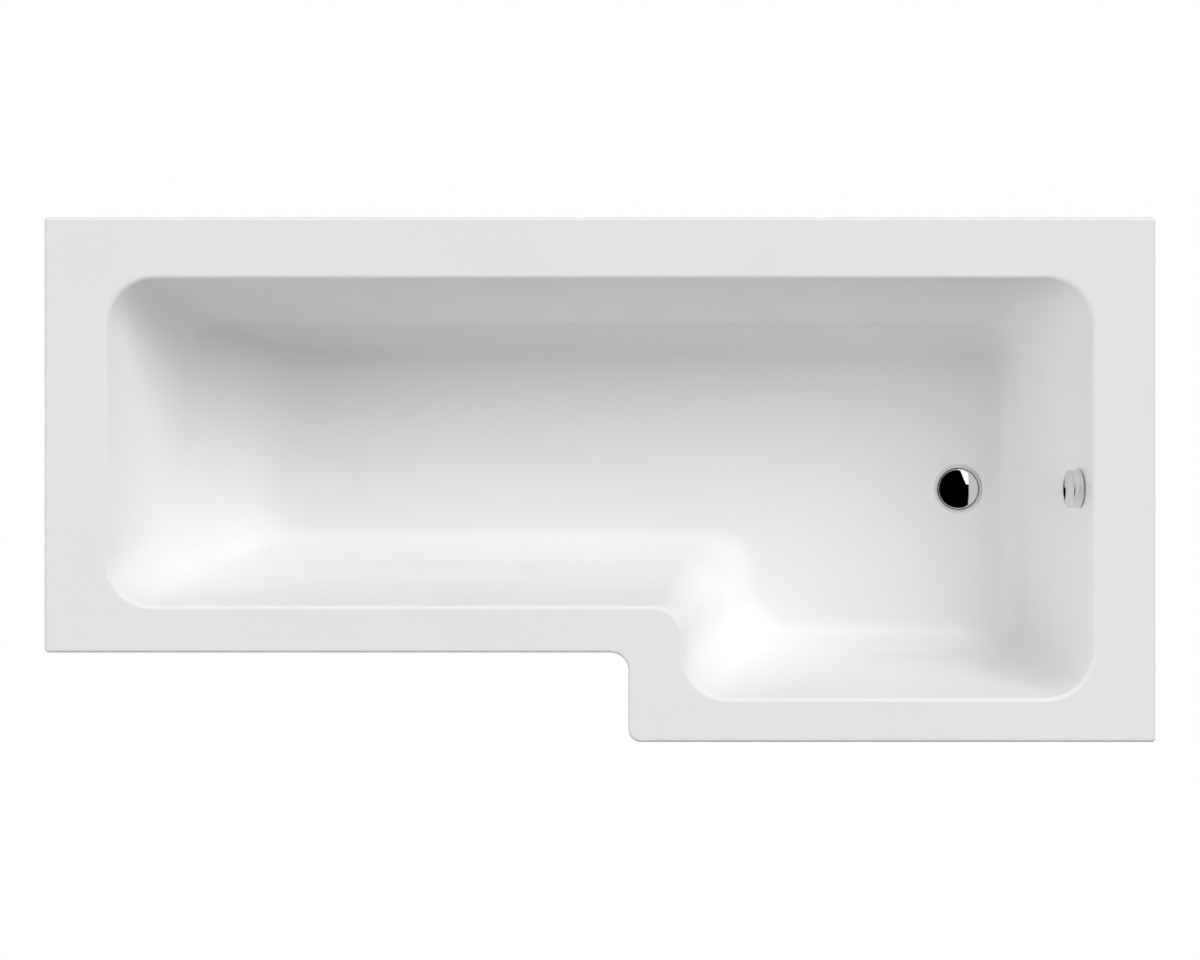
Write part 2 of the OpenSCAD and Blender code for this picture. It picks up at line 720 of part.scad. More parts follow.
// A quarter or half turn of tube in the plane across the bath, seen from its middle
module bend(d, from, turn) rotate([90, 0, 90]) rotate(from)
    rotate_extrude(angle = turn) translate([trap_bend_r, 0]) circle(d = d);

module trap_run(d, over) {
    translate([0, 0, trap_low_z]) cylinder(d = d, h = trap_leg + over);
    translate([0, trap_bend_r, trap_low_z]) bend(d, 180, 180);
    translate([0, 2 * trap_bend_r, trap_low_z]) cylinder(d = d, h = trap_leg);
    translate([0, 3 * trap_bend_r, trap_low_z + trap_leg]) bend(d, 90, 90);
    translate([0, 3 * trap_bend_r, trap_out_z]) rotate([-90, 0, 0]) cylinder(d = d, h = neck_len + over);
}

module trap_body() color("white") translate([waste_x, waste_y, 0]) difference() {
    union() {
        trap_run(trap_d, 0);
        translate([0, 0, trap_top_z - trap_collar_t]) cylinder(d = trap_collar_d, h = trap_collar_t);
        translate([0, 3 * trap_bend_r + neck_len, trap_out_z])
            rotate([-90, 0, 0]) cylinder(d = socket_d, h = socket_len);
        translate([0, trap_bend_r, trap_low_z - trap_bend_r])
            rotate([0, 90, 0]) cylinder(d = eye_d, h = eye_len);
    }
    trap_run(trap_bore, cut_over);
    translate([0, 3 * trap_bend_r + neck_len + pipe_stop, trap_out_z])
        rotate([-90, 0, 0]) cylinder(d = pipe_d + 2 * socket_gap, h = socket_len);
    translate([0, trap_bend_r, trap_low_z - trap_bend_r])
        rotate([0, 90, 0]) cylinder(d = eye_bore, h = eye_len + cut_over);
}

module trap_washer() color("black") at_waste(trap_top_z) tube(trap_collar_d, trap_bore, washer_t);

nut_wall = 4;
nut_lip = 3;
grip_count = 12;
grip_w = 5;
grip_out = 1.6;

// A ring nut with grips, its lip at z = 0
module ring_nut(bore, lip_bore, h) {
    od = bore + 2 * nut_wall;
    difference() {
        union() {
            cylinder(d = od, h = h);
            for (k = [0:grip_count - 1]) rotate(k * 360 / grip_count)
                translate([0, -grip_w / 2, 0]) cube([od / 2 + grip_out, grip_w, h]);
        }
        translate([0, 0, nut_lip]) cylinder(d = bore, h = h);
        translate([0, 0, -cut_over]) cylinder(d = lip_bore, h = nut_lip + 2 * cut_over);
    }
}

trap_nut_z = trap_top_z - trap_collar_t - slip_gap - nut_lip;

module trap_nut() color("whitesmoke") at_waste(trap_nut_z)
    ring_nut(outlet_d + 2 * slip_gap, trap_d + 2 * slip_gap, outlet_z + outlet_len - slip_gap - trap_nut_z);

outlet_seal_t = 4;
outlet_nut_h = 22;
socket_end_y = waste_y + 3 * trap_bend_r + neck_len + socket_len;

module trap_outlet_seal() color("black") translate([waste_x, socket_end_y, trap_out_z])
    rotate([-90, 0, 0]) tube(socket_d, pipe_d + 2 * slip_gap, outlet_seal_t);

module trap_outlet_nut() color("whitesmoke")
    translate([waste_x, socket_end_y + outlet_seal_t + slip_gap + nut_lip, trap_out_z]) rotate([90, 0, 0])
        ring_nut(socket_d + 2 * slip_gap, pipe_d + 2 * slip_gap, outlet_nut_h);

eye_cap_t = 3;
eye_plug_share = 1 / 3;

module trap_eye_cap() color("whitesmoke")
    translate([waste_x + eye_len + eye_cap_t + slip_gap, waste_y + trap_bend_r, trap_low_z - trap_bend_r])
        rotate([0, -90, 0]) {
            tube(eye_d + 2 * nut_wall, eye_d + 2 * slip_gap, eye_cap_t + eye_len - trap_d / 2);
            cylinder(d = eye_d + 2 * nut_wall, h = eye_cap_t);
            cylinder(d = eye_bore - 2 * slip_gap, h = eye_cap_t + eye_plug_share * eye_len);
        }

// Overflow, in a frame on the sloping wall: local x up the wall, local z into the well
overflow_x = tap_out - ledge_tap + edge_back - rim_edge_r * cos(tap_slope)
    - (overflow_depth - rim_edge_r * (1 - sin(tap_slope))) * tan(tap_slope);
overflow_z = rim_h - overflow_depth;
plate_t = 1.5;
knob_wall = 2.5;
plate_gap = 1;
plate_d = knob_d - 2 * (knob_wall + plate_gap);
overflow_seal_t = 3;
seal_in = 1;
elbow_flange_d = 70;
elbow_flange_t = 4;
elbow_z = -shell_t - overflow_seal_t;
elbow_d = 48;
elbow_wall = 3;
chamber_len = 36;
gear_len = 20;
divider_z = elbow_z - chamber_len;
gear_z = divider_z - elbow_wall - gear_len;
hose_back = 28;
cable_back = -divider_z + elbow_wall + gear_len / 2;
post_d = 9;
post_r = 14.5;
plate_screw_d = 4;
slot_count = 6;
slot_w = 4;
slot_r = 21;
slot_l = 2 * slot_w;
plate_screw_l = 12;

module at_overflow(z)
    translate([overflow_x, waste_y, overflow_z])
        rotate([0, tap_slope - 90, 0]) translate([0, 0, z]) children();

module down_wall(y, z) at_overflow(z) translate([0, y, 0]) rotate([0, -90, 0]) children();

post_places = [for (s = [-1, 1]) [0, s * post_r]];

module overflow_body() color("whitesmoke") difference() {
    union() {
        at_overflow(elbow_z - elbow_flange_t) cylinder(d = elbow_flange_d, h = elbow_flange_t);
        at_overflow(gear_z) cylinder(d = elbow_d, h = elbow_z - gear_z);
        down_wall(0, -hose_back) cylinder(d = spigot_d, h = elbow_d / 2 + spigot_len);
        down_wall(0, -hose_back) cylinder(d = collar_d, h = elbow_d / 2 + collar_t);
        down_wall(drum_r, -cable_back) cylinder(d = boss_gland_d, h = elbow_d / 2 + boss_gland_t);
    }
    difference() {
        at_overflow(divider_z) cylinder(d = elbow_d - 2 * elbow_wall, h = chamber_len + cut_over);
        for (p = post_places) at_overflow(divider_z) translate(p) cylinder(d = post_d, h = chamber_len);
    }
    at_overflow(gear_z - cut_over) cylinder(d = elbow_d - 2 * elbow_wall, h = gear_len + cut_over);
    at_overflow(gear_z) cylinder(d = spindle_d + 2 * run_gap, h = -gear_z);
    for (p = post_places) at_overflow(elbow_z - plate_screw_l) translate(p)
        cylinder(d = plate_screw_d + 2 * pilot_gap, h = plate_screw_l + cut_over);
    down_wall(0, -hose_back) cylinder(d = spigot_bore, h = elbow_d / 2 + spigot_len + cut_over);
    down_wall(drum_r, -cable_back) cylinder(d = gland_d + 2 * slip_gap, h = elbow_d);
}

module overflow_seal() color("black") at_overflow(-shell_t - overflow_seal_t)
    tube(elbow_flange_d - 2 * seal_in, overflow_hole_d, overflow_seal_t);

// The plate over the hole, with water slots round its edge
module overflow_plate() color("silver") at_overflow(0) difference() {
    cylinder(d = plate_d, h = plate_t);
    translate([0, 0, -cut_over]) cylinder(d = spindle_d + 2 * run_gap, h = plate_t + 2 * cut_over);
    for (p = post_places) translate([p[0], p[1], -cut_over])
        cylinder(d = plate_screw_d + 2 * pilot_gap, h = plate_t + 2 * cut_over);
    for (k = [0:slot_count - 1])
        rotate((k + 0.5) * 360 / slot_count) translate([slot_r - slot_l, 0, -cut_over]) {
            translate([0, -slot_w / 2, 0]) cube([slot_l, slot_w, plate_t + 2 * cut_over]);
            for (x = [0, slot_l]) translate([x, 0, 0]) cylinder(d = slot_w, h = plate_t + 2 * cut_over);
        }
}

module plate_screws() color("gainsboro") for (p = post_places) at_overflow(plate_t) translate(p) {
    cylinder(d = head_share * plate_screw_d, h = plate_t);
    translate([0, 0, -plate_t - shell_t - overflow_seal_t - plate_screw_l + 2 * pilot_gap])
        cylinder(d = plate_screw_d, h = plate_t + shell_t + overflow_seal_t + plate_screw_l);
}

cover_t = 3;
cover_rim = 4;

module overflow_cover() color("whitesmoke") at_overflow(gear_z - cover_t) {
    cylinder(d = elbow_d, h = cover_t);
    tube(elbow_d - 2 * elbow_wall - 2 * slip_gap, elbow_d - 4 * elbow_wall, cover_t + cover_rim);
}

// Knob: a hollow cup with a hub on the spindle
knob_face_t = 3;
hub_d = 2 * spindle_d;
hub_back = 3;
spindle_in = 11;
grub_d = 4;
grub_z = knob_gap + hub_back + spindle_in / 2;

module control_knob() color("silver") at_overflow(knob_gap) difference() {
    rotate_extrude() difference() {
        union() {
            square([knob_d / 2, knob_t - knob_edge_r]);
            square([knob_d / 2 - knob_edge_r, knob_t]);
            translate([knob_d / 2 - knob_edge_r, knob_t - knob_edge_r]) circle(knob_edge_r);
        }
        translate([hub_d / 2, -cut_over])
            square([knob_d / 2 - knob_wall - hub_d / 2, knob_t - knob_face_t + cut_over]);
        translate([-cut_over, -cut_over]) square([hub_d / 2 + 2 * cut_over, hub_back + cut_over]);
        square([spindle_d / 2 + run_gap, hub_back + spindle_in + run_gap]);
        translate([-knob_d, -knob_d]) square([knob_d, 2 * knob_d]);
    }
    translate([0, 0, grub_z - knob_gap]) rotate([0, -90, 0]) cylinder(d = grub_d + 2 * run_gap, h = knob_d);
}

module knob_screw() color("dimgray") down_wall(0, grub_z) translate([0, 0, spindle_d / 2 + run_gap])
    cylinder(d = grub_d, h = hub_d / 2 - spindle_d / 2);

drum_w = 8;
drum_lip = 3;
drum_flange_r = drum_r + drum_lip;
drum_groove_w = 3;

module knob_spindle() color("silver") {
    at_overflow(gear_z + cut_over)
        cylinder(d = spindle_d, h = knob_gap + hub_back + spindle_in - gear_z - cut_over);
    at_overflow(-cable_back) rotate_extrude() difference() {
        translate([0, -drum_w / 2]) square([drum_flange_r, drum_w]);
        translate([drum_r, -drum_groove_w / 2]) square([drum_flange_r, drum_groove_w]);
    }
}

// Spigots and glands at both ends of the hose and the cable
hose_sides = 8;
spigot_d = hose_bore_d * cos(180 / hose_sides) - 2 * run_gap;
spigot_bore = 16;
spigot_len = 26;
collar_edge = 0.5;
collar_d = hose_bore_d + 2 * (hose_wall + collar_edge);
collar_t = 3;
hose_below_floor = 28;
hose_z = floor_z - hose_below_floor;
gland_wall = 1;
gland_d = cable_d + 2 * gland_wall;
gland_in = 6;
gland_hex = 13;
gland_hex_t = 5;
core_share = 1 / 3;
boss_wall = 2.5;
boss_gland_d = gland_d + 2 * boss_wall;
boss_gland_t = 6;

// Directions of the two straight stretches: down the sloping wall, then level to the waste
wall_dir = [-sin(tap_slope), 0, -cos(tap_slope)];
level_dir = [-1, 0, 0];
turn_angle = 90 - tap_slope;

// Place behind the wall, down from the overflow's axis
function behind(down, back) = [
    overflow_x + back * cos(tap_slope) - down * sin(tap_slope),
    overflow_z - back * sin(tap_slope) - down * cos(tap_slope)
];

// A route of a straight, a bend and a straight, as its start, the three lengths and its bend radius
function route_of(down, back, z, end_x, r) =
    let (
        a = behind(down, back),
        fall = (a[1] - z) / cos(tap_slope),
        corner_x = a[0] - fall * sin(tap_slope),
        tangent = r * tan(turn_angle / 2)
    )
    [a, fall - tangent, r * turn_angle * PI / 180, corner_x - tangent - end_x, r];

function route_length(route) = route[1] + route[2] + route[3];

// Point and direction angle on a route, in the x, z plane; the angle is measured down from level
function route_at(route, s) =
    let (
        a = route[0],
        r = route[4],
        start = [a[0] - route[1] * sin(tap_slope), a[1] - route[1] * cos(tap_slope)],
        centre = [start[0] - r * cos(tap_slope), start[1] + r * sin(tap_slope)],
        turned = min(max(s - route[1], 0), route[2]) / r * 180 / PI,
        angle = turn_angle - turned
    )
    s <= route[1]
        ? [a[0] - s * sin(tap_slope), a[1] - s * cos(tap_slope), angle]
        : let (after = max(s - route[1] - route[2], 0))
        [centre[0] + r * sin(angle) - after, centre[1] - r * cos(angle), angle];

// A ring round the route; its angle starts on the outside of the bend
function route_ring(route, s, y, r, sides) =
    let (p = route_at(route, s))
    [for (k = [0:sides - 1])
        let (a = 360 * (k + 0.5) / sides)
        [p[0] + r * cos(a) * sin(p[2]), y + r * sin(a), p[1] - r * cos(a) * cos(p[2])]];

cuff_len = 28;
hose_route = route_of(elbow_d / 2 + collar_t, hose_back, hose_z,
    waste_x + waste_body_d / 2 + collar_t, hose_bend_r);
hose_l = route_length(hose_route);
rib_count = floor((hose_l - 2 * cuff_len) / rib_pitch);
hose_r = hose_bore_d / 2 + hose_wall;
// Where in its pitch a rib is highest, and where it ends
rib_shares = [0.3, 0.9];
bore_steps = 14;

module overflow_hose() color("lightgray") {
    ribbed = hose_l - 2 * cuff_len;
    outer = concat(
        [[0, hose_r], [cuff_len, hose_r]],
        [for (k = [0:rib_count - 1])
            let (step = ribbed / rib_count)
            for (i = [0, 1]) [cuff_len + (k + rib_shares[i]) * step, hose_r + (i == 0 ? rib_h : 0)]],
        [[hose_l - cuff_len, hose_r], [hose_l, hose_r]]
    );
    inner = [for (k = [bore_steps:-1:0]) [hose_l * k / bore_steps, hose_bore_d / 2]];
    rings = [for (q = concat(outer, inner)) route_ring(hose_route, q[0], waste_y, q[1], hose_sides)];
    polyhedron([for (r = rings) each r], skin_faces(len(rings), hose_sides, true), convexity = 10);
}

clip_w = 9;
clip_t = 1;
clip_set = 12;
clip_box_w = 9;
clip_box_h = 7;

// A band clip round the cuff, standing on z = 0, with its screw housing
module band_clip() {
    r = hose_r + slip_gap;
    tube(2 * r + 2 * clip_t, 2 * r, clip_w);
    translate([-clip_box_w / 2, -r - clip_t / 2 - clip_box_h, 0]) cube([clip_box_w, clip_box_h, clip_w]);
}

module hose_clips() color("silver") {
    down_wall(0, -hose_back) translate([0, 0, elbow_d / 2 + collar_t + clip_set]) band_clip();
    along_x(waste_x + waste_body_d / 2 + collar_t + clip_set, waste_y, hose_z) band_clip();
}

cable_sides = 8;
cable_step_share = 2.5;
cable_step = cable_step_share * cable_d;
gland_out = boss_gland_t + gland_hex_t;
cable_route = route_of(elbow_d / 2 + gland_out, cable_back, cable_z,
    waste_x + waste_body_d / 2 + gland_out, cable_bend_r);
cable_l = route_length(cable_route);
cable_rings = ceil(cable_l / cable_step);

module control_cable() color("dimgray") {
    rings = [for (k = [0:cable_rings])
        route_ring(cable_route, cable_l * k / cable_rings, cable_y, cable_d / 2, cable_sides)];
    last = cable_rings * cable_sides;
    ends = [[for (j = [cable_sides - 1:-1:0]) j], [for (j = [0:cable_sides - 1]) last + j]];
    polyhedron([for (r = rings) each r], concat(skin_faces(len(rings), cable_sides, false), ends));
}

// A gland with its head at z = 0, its neck in the boss below and the cable's end above
module gland() difference() {
    union() {
        translate([0, 0, -gland_in]) cylinder(d = gland_d, h = gland_in + gland_hex_t / 2);
        cylinder(d = gland_hex / cos(30), h = gland_hex_t, $fn = 6);
    }
    translate([0, 0, -gland_in - cut_over])
        cylinder(d = core_share * cable_d, h = gland_in + gland_hex_t + 2 * cut_over);
}

module cable_glands() color("silver") {
    down_wall(drum_r, -cable_back) translate([0, 0, elbow_d / 2 + boss_gland_t]) gland();
    along_x(waste_x + waste_body_d / 2 + boss_gland_t, cable_y, cable_z) gland();
}

bath_shell();
base_board();
back_batten();
head_batten();
tap_batten();
narrow_batten();
wide_batten();
leg_rail_head();
leg_rail_tap();
centre_bracket();
leg_nuts();
rail_screws();
for (i = [0:len(FEET) - 1]) {
    foot_pad(i);
    foot_stud(i);
}
wall_brackets();
bracket_screws();
waste_flange();
flange_seal();
under_seal();
waste_body();
plug_cap();
plug_seal();
plug_stem();
stem_nut();
lifter_rocker();
rocker_pin();
trap_body();
trap_nut();
trap_washer();
trap_outlet_nut();
trap_outlet_seal();
trap_eye_cap();
overflow_body();
overflow_seal();
overflow_plate();
plate_screws();
overflow_cover();
control_knob();
knob_spindle();
knob_screw();
overflow_hose();
hose_clips();
control_cable();
cable_glands();
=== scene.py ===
import math
from collections import namedtuple

import bmesh
import bpy
from mathutils import Matrix, Vector


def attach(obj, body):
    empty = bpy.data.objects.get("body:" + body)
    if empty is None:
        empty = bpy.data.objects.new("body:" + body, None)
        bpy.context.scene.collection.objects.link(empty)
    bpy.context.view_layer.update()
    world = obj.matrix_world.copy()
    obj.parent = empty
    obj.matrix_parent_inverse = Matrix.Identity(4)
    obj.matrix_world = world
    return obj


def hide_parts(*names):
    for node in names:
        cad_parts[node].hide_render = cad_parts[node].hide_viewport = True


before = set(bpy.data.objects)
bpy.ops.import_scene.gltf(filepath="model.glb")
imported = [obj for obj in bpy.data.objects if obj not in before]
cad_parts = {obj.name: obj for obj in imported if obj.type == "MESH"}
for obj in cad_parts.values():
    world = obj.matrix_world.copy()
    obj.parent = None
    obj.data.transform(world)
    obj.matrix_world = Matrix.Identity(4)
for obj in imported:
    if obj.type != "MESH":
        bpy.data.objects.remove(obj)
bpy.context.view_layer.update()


# Camera
# The bath is seen from straight above with hardly any perspective, so a very long lens looks down
# from far away at the middle of the rim.
def placed(name, data):
    """A new object in the scene."""
    made = bpy.data.objects.new(name, data)
    bpy.context.scene.collection.objects.link(made)
    return made


rim_z = 0.560
lens = 1300
sensor = 36
view_width = 1.9446
view_y = -0.0005
camera = placed("camera", bpy.data.cameras.new("camera"))
camera.data.lens, camera.data.sensor_width = lens, sensor
camera.location = (0, view_y, rim_z + view_width * lens / sensor)
camera.data.clip_start, camera.data.clip_end = 1, 200
bpy.context.scene.camera = camera
bpy.context.scene.view_settings.view_transform = "Standard"


# Overflow hose
# A ribbed PVC hose from the overflow elbow down behind the sloping wall and under the floor to the
# waste. Its plain cuffs are pushed over the two spigots and held by band clips.
class Wire:
    """A socket of a material's nodes. Sums and products on it add Math nodes."""

    def __init__(self, tree, socket=None):
        self.tree, self.socket = tree, socket

    def node(self, kind, settings=None, inputs=None, out=0):
        """A new node: its settings are set first, then the values or links of its sockets."""
        made = self.tree.nodes.new("ShaderNode" + kind)
        for name, value in (settings or {}).items():
            setattr(made, name, value)
        for name, value in (inputs or {}).items():
            if isinstance(value, Wire):
                self.tree.links.new(value.socket, made.inputs[name])
            else:
                made.inputs[name].default_value = value
        return Wire(self.tree, made.outputs[out])

    def maths(self, operation, *others):
        """A Math node on this value and the others."""
        return self.node("Math", {"operation": operation}, dict(enumerate((self, *others))))

    def __add__(self, other):
        return self.maths("ADD", other)

    def __sub__(self, other):
        return self.maths("SUBTRACT", other)

    def __rsub__(self, other):
        return self.node("Math", {"operation": "SUBTRACT"}, {0: other, 1: self})

    def __mul__(self, other):
        return self.maths("MULTIPLY", other)

    __radd__, __rmul__ = __add__, __mul__

    def noise(self, scale, detail=2.0, stretch=(1, 1, 1), turn=(0, 0, 0)):
        """Cloudy noise from 0 to 1 on these coordinates, with scale in clouds per metre."""
        place = self.node("Mapping", {"vector_type": "TEXTURE"}, {0: self, 2: turn})
        place = place.node("VectorMath", {"operation": "MULTIPLY"}, {0: place, 1: stretch})
        return place.node("TexNoise", None, {"Vector": place, "Scale": scale, "Detail": detail})

    def above(self, low, high):
        """0 below low, 1 above high, and smooth between."""
        return self.node("MapRange", {"interpolation_type": "SMOOTHSTEP"}, {0: self, 1: low, 2: high})

    def blend(self, low, high):
        """A colour between two, by this mask."""
        return self.node("Mix", {"data_type": "RGBA"}, {0: self, 6: low, 7: high}, out=2)

    def bump(self, height, depth):
        """Normals of a surface that rises by depth metres where this height is 1."""
        return self.node("Bump", None, {"Height": height, "Distance": depth, "Strength": 1.0})


def finish_of(name, colour, roughness, metal=0.0, **uniform):
    """A material with one Principled shader. Returns it, the shader and the object coordinates."""
    made = bpy.data.materials.new(name)
    made.use_nodes = True
    tree = made.node_tree
    skin = tree.nodes["Principled BSDF"]
    skin.inputs["Base Color"].default_value = (*colour, 1)
    skin.inputs["Roughness"].default_value = roughness
    skin.inputs["Metallic"].default_value = metal
    for key, value in uniform.items():
        skin.inputs[key.replace("_", " ")].default_value = value
    return made, skin, Wire(tree).node("TexCoord", out="Object")


def feed(skin, **wires):
    """Links what changes over the surface to the shader's sockets."""
    for key, wire in wires.items():
        wire.tree.links.new(wire.socket, skin.inputs[key.replace("_", " ")])


def swept(rings, closed=False):
    """A skin drawn through rings of equal point counts, each ring extruded to the next."""
    form = bmesh.new()
    order = form.verts.layers.int.new("order")
    first = [form.verts.new(p) for p in rings[0]]
    for k, v in enumerate(first):
        v[order] = k
    edges = [form.edges.new((v, first[(k + 1) % len(first)])) for k, v in enumerate(first)]
    for ring in rings[1:]:
        grown = bmesh.ops.extrude_edge_only(form, edges=edges)["geom"]
        edges = [g for g in grown if isinstance(g, bmesh.types.BMEdge)]
        for v in (g for g in grown if isinstance(g, bmesh.types.BMVert)):
            v.co = ring[v[order]]
    if closed:
        bmesh.ops.remove_doubles(form, verts=form.verts, dist=1e-6)
    bmesh.ops.recalc_face_normals(form, faces=form.faces)
    form.verts.layers.int.remove(form.verts.layers.int["order"])
    return form


def mesh_of(form, name):
    """The mesh of a bmesh, which is then freed."""
    mesh = bpy.data.meshes.new(name)
    form.to_mesh(mesh)
    form.free()
    return mesh


def piece_of(form, name, material, body, node, crease):
    """The finished piece: smooth but for its creases, on its body, in place of its CAD node."""
    for f in form.faces:
        f.smooth = True
    for e in form.edges:
        e.smooth = len(e.link_faces) == 2 and e.calc_face_angle(0) < math.radians(crease)
    made = placed(name, mesh_of(form, name))
    made.data.materials.append(material)
    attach(made, body)
    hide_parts(node)
    return made


tap_slope = math.radians(17)
turn_down = math.pi / 2 - tap_slope
waste_x, waste_y = 0.584, -0.015
chamber_r = 0.028
overflow_at = Vector((0.778291, waste_y, 0.492))
elbow_r = 0.024
collar = 0.003
hose_back, hose_z, hose_bend = 0.028, 0.132, 0.080
hose_bore_r, hose_r, hose_mouth = 0.011, 0.0128, 0.0006
cuff = 0.028
rib_h, rib_pitch = 0.002, 0.006
rib_shape = [(0.1, 0.0), (0.26, 0.55), (0.38, 0.93), (0.52, 1.0), (0.66, 0.93), (0.78, 0.55), (0.94, 0.0)]
bore_steps, hose_sides = 48, 32


def route(down, back, y, level, end_x, bend):
    """The length of a route and its place and angle at any length: down the wall, bent, then level."""
    x = overflow_at.x + back * math.cos(tap_slope) - down * math.sin(tap_slope)
    z = overflow_at.z - back * math.sin(tap_slope) - down * math.cos(tap_slope)
    fall = (z - level) / math.cos(tap_slope)
    tangent = bend * math.tan(turn_down / 2)
    steep, curve = fall - tangent, bend * turn_down
    flat = x - fall * math.sin(tap_slope) - tangent - end_x

    def at(s):
        angle = turn_down - min(max(s - steep, 0), curve) / bend
        if s <= steep:
            return Vector((x - s * math.sin(tap_slope), y, z - s * math.cos(tap_slope))), angle
        hub_x = x - steep * math.sin(tap_slope) - bend * math.cos(tap_slope)
        hub_z = z - steep * math.cos(tap_slope) + bend * math.sin(tap_slope)
        after = max(s - steep - curve, 0)
        return Vector((hub_x + bend * math.sin(angle) - after, y, hub_z - bend * math.cos(angle))), angle

    return steep + curve + flat, at


def ring_round(at, s, r, sides):
    """A ring of points round a route."""
    centre, angle = at(s)
    up = Vector((math.sin(angle), 0, -math.cos(angle)))
    return [
        centre + r * (up * math.cos(a) + Vector((0, 1, 0)) * math.sin(a))
        for a in (2 * math.pi * k / sides for k in range(sides))
    ]


def points_along(at, length, steps=30):
    """The points that a route follows, evenly spaced."""
    return [at(length * k / steps)[0] for k in range(steps + 1)]


hose_l, hose_at = route(
    elbow_r + collar, hose_back, waste_y, hose_z, waste_x + chamber_r + collar, hose_bend
)
rib_n = int((hose_l - 2 * cuff) / rib_pitch)
rib_step = (hose_l - 2 * cuff) / rib_n
hose_rings = [(0.0, hose_bore_r), (0.0, hose_r - hose_mouth / 2), (hose_mouth, hose_r)]
hose_rings += [(cuff * 0.5, hose_r), (cuff, hose_r)]
hose_rings += [
    (cuff + (k + along) * rib_step, hose_r + rib_h * height)
    for k in range(rib_n) for along, height in rib_shape
]
hose_rings += [(hose_l - cuff, hose_r), (hose_l - hose_mouth, hose_r), (hose_l, hose_r - hose_mouth / 2)]
hose_rings += [(hose_l * (1 - k / bore_steps), hose_bore_r) for k in range(bore_steps)]
hose_rings.append(hose_rings[0])
hose_paint, skin, place = finish_of("hose_pvc", (0.62, 0.63, 0.62), 0.42, IOR=1.53)
grime = place.noise(38, 4).above(0.45, 0.75)
feed(
    skin,
    Base_Color=grime.blend((0.66, 0.67, 0.66, 1), (0.55, 0.55, 0.52, 1)),
    Roughness=0.36 + grime * 0.16,
    Normal=place.bump(place.noise(700, 3), 0.00012),
)
hose = piece_of(
    swept([ring_round(hose_at, s, r, hose_sides) for s, r in hose_rings], closed=True),
    "ribbed_hose", hose_paint, "bath", "overflow_hose", crease=50,
)
hose_at(0)[0]
points_along(hose_at, hose_l)

# Control cable
# A sheathed cable that carries the knob's turn to the plug lifter, beside the hose and round a tighter
# bend. It is clamped in a brass gland at each end.
cable_r, cable_end, cable_end_r, cable_mid_r = 0.003, 0.0005, 0.00258, 0.0001
cable_back, cable_y, cable_z, cable_bend = 0.058, -0.007, 0.112085, 0.070
cable_steps, cable_sides = 60, 20
gland = 0.011
cable_l, cable_at = route(
    elbow_r + gland, cable_back, cable_y, cable_z, waste_x + chamber_r + gland, cable_bend
)
cable_paint, skin, place = finish_of("cable_sheath", (0.035, 0.036, 0.04), 0.42)
feed(
    skin,
    Roughness=0.34 + place.noise(160, 3) * 0.2,
    Base_Color=place.noise(60, 3).blend((0.02, 0.02, 0.023, 1), (0.06, 0.06, 0.062, 1)),
    Normal=place.bump(place.noise(1400, 2, (1, 1, 0.2)), 0.00008),
)
cable_rings = [(0.0, cable_mid_r), (0.0, cable_end_r), (cable_end, cable_r)]
cable_rings += [(cable_l * k / cable_steps, cable_r) for k in range(1, cable_steps)]
cable_rings += [(cable_l - cable_end, cable_r), (cable_l, cable_end_r), (cable_l, cable_mid_r)]
cable_form = swept([ring_round(cable_at, s, r, cable_sides) for s, r in cable_rings])
bmesh.ops.holes_fill(cable_form, edges=cable_form.edges)
cable = piece_of(
    cable_form, "sheathed_cable", cable_paint, "bath", "control_cable", crease=60
)
cable_at(0)[0]
points_along(cable_at, cable_l)

# Shell
# One sheet of white acrylic, vacuum-formed over an L-shaped mould, with glass-fibre resin sprayed on
# its back. Rim, well and hanging lip are one skin, and the waste and overflow holes are cut afterwards.
well_depth, thick, lip_h = 0.400, 0.006, 0.040
floor_z, lip_z = rim_z - well_depth, rim_z - lip_h
under_z = floor_z - thick
edge_r, outer_edge_r, lip_edge_r, lip_bend = 0.008, 0.005, 0.0012, 0.003
hole_r, seat_r, seat_drop, seat_edge, seat_ease = 0.026, 0.039, 0.002, 0.0012, 0.0004
seat_z = floor_z - seat_drop
support, least_corner_r = 0.001, 0.001
Side = namedtuple("Side", "place rim inward slope foot")
head = Side(-0.900, 0.099, 1, math.radians(23), 0.160)
tap = Side(0.900, 0.099, -1, tap_slope, 0.060)
step = Side(0.046, 0.086, 1, math.radians(11), 0.060)
wall = Side(0.425, 0.0965, -1, math.radians(11), 0.060)
narrow = Side(-0.280, 0.073, 1, math.radians(11), 0.060)
wide = Side(-0.425, 0.068, 1, math.radians(11), 0.060)
Corner = namedtuple("Corner", "end flank start sweep outer_r rim_r floor_r")
corners = [
    Corner(head, wall, 90, 90, 0.006, 0.078, 0.058),
    Corner(head, narrow, 180, 90, 0.006, 0.078, 0.058),
    Corner(step, narrow, 90, -90, 0.030, 0.044, 0.073),
    Corner(step, wide, 180, 90, 0.020, 0.078, 0.058),
    Corner(tap, wide, 270, 90, 0.006, 0.078, 0.058),
    Corner(tap, wall, 0, 90, 0.006, 0.078, 0.058),
]
corner_steps = 24
foot_steps, edge_steps, outer_steps = 28, 14, 12
back_foot_steps, back_edge_steps = 18, 6

# The straights after each corner, roughly, and how far apart their points stand.
straight_lengths = [0.51, 0.75, 0.13, 0.66, 0.66, 1.45]
straight_step, corner_hold = 0.05, 0.004
straight_shares = []
for length in straight_lengths:
    n = max(2, round(length / straight_step))
    hold = corner_hold / length
    straight_shares.append([hold] + [k / n for k in range(1, n)] + [1 - hold])


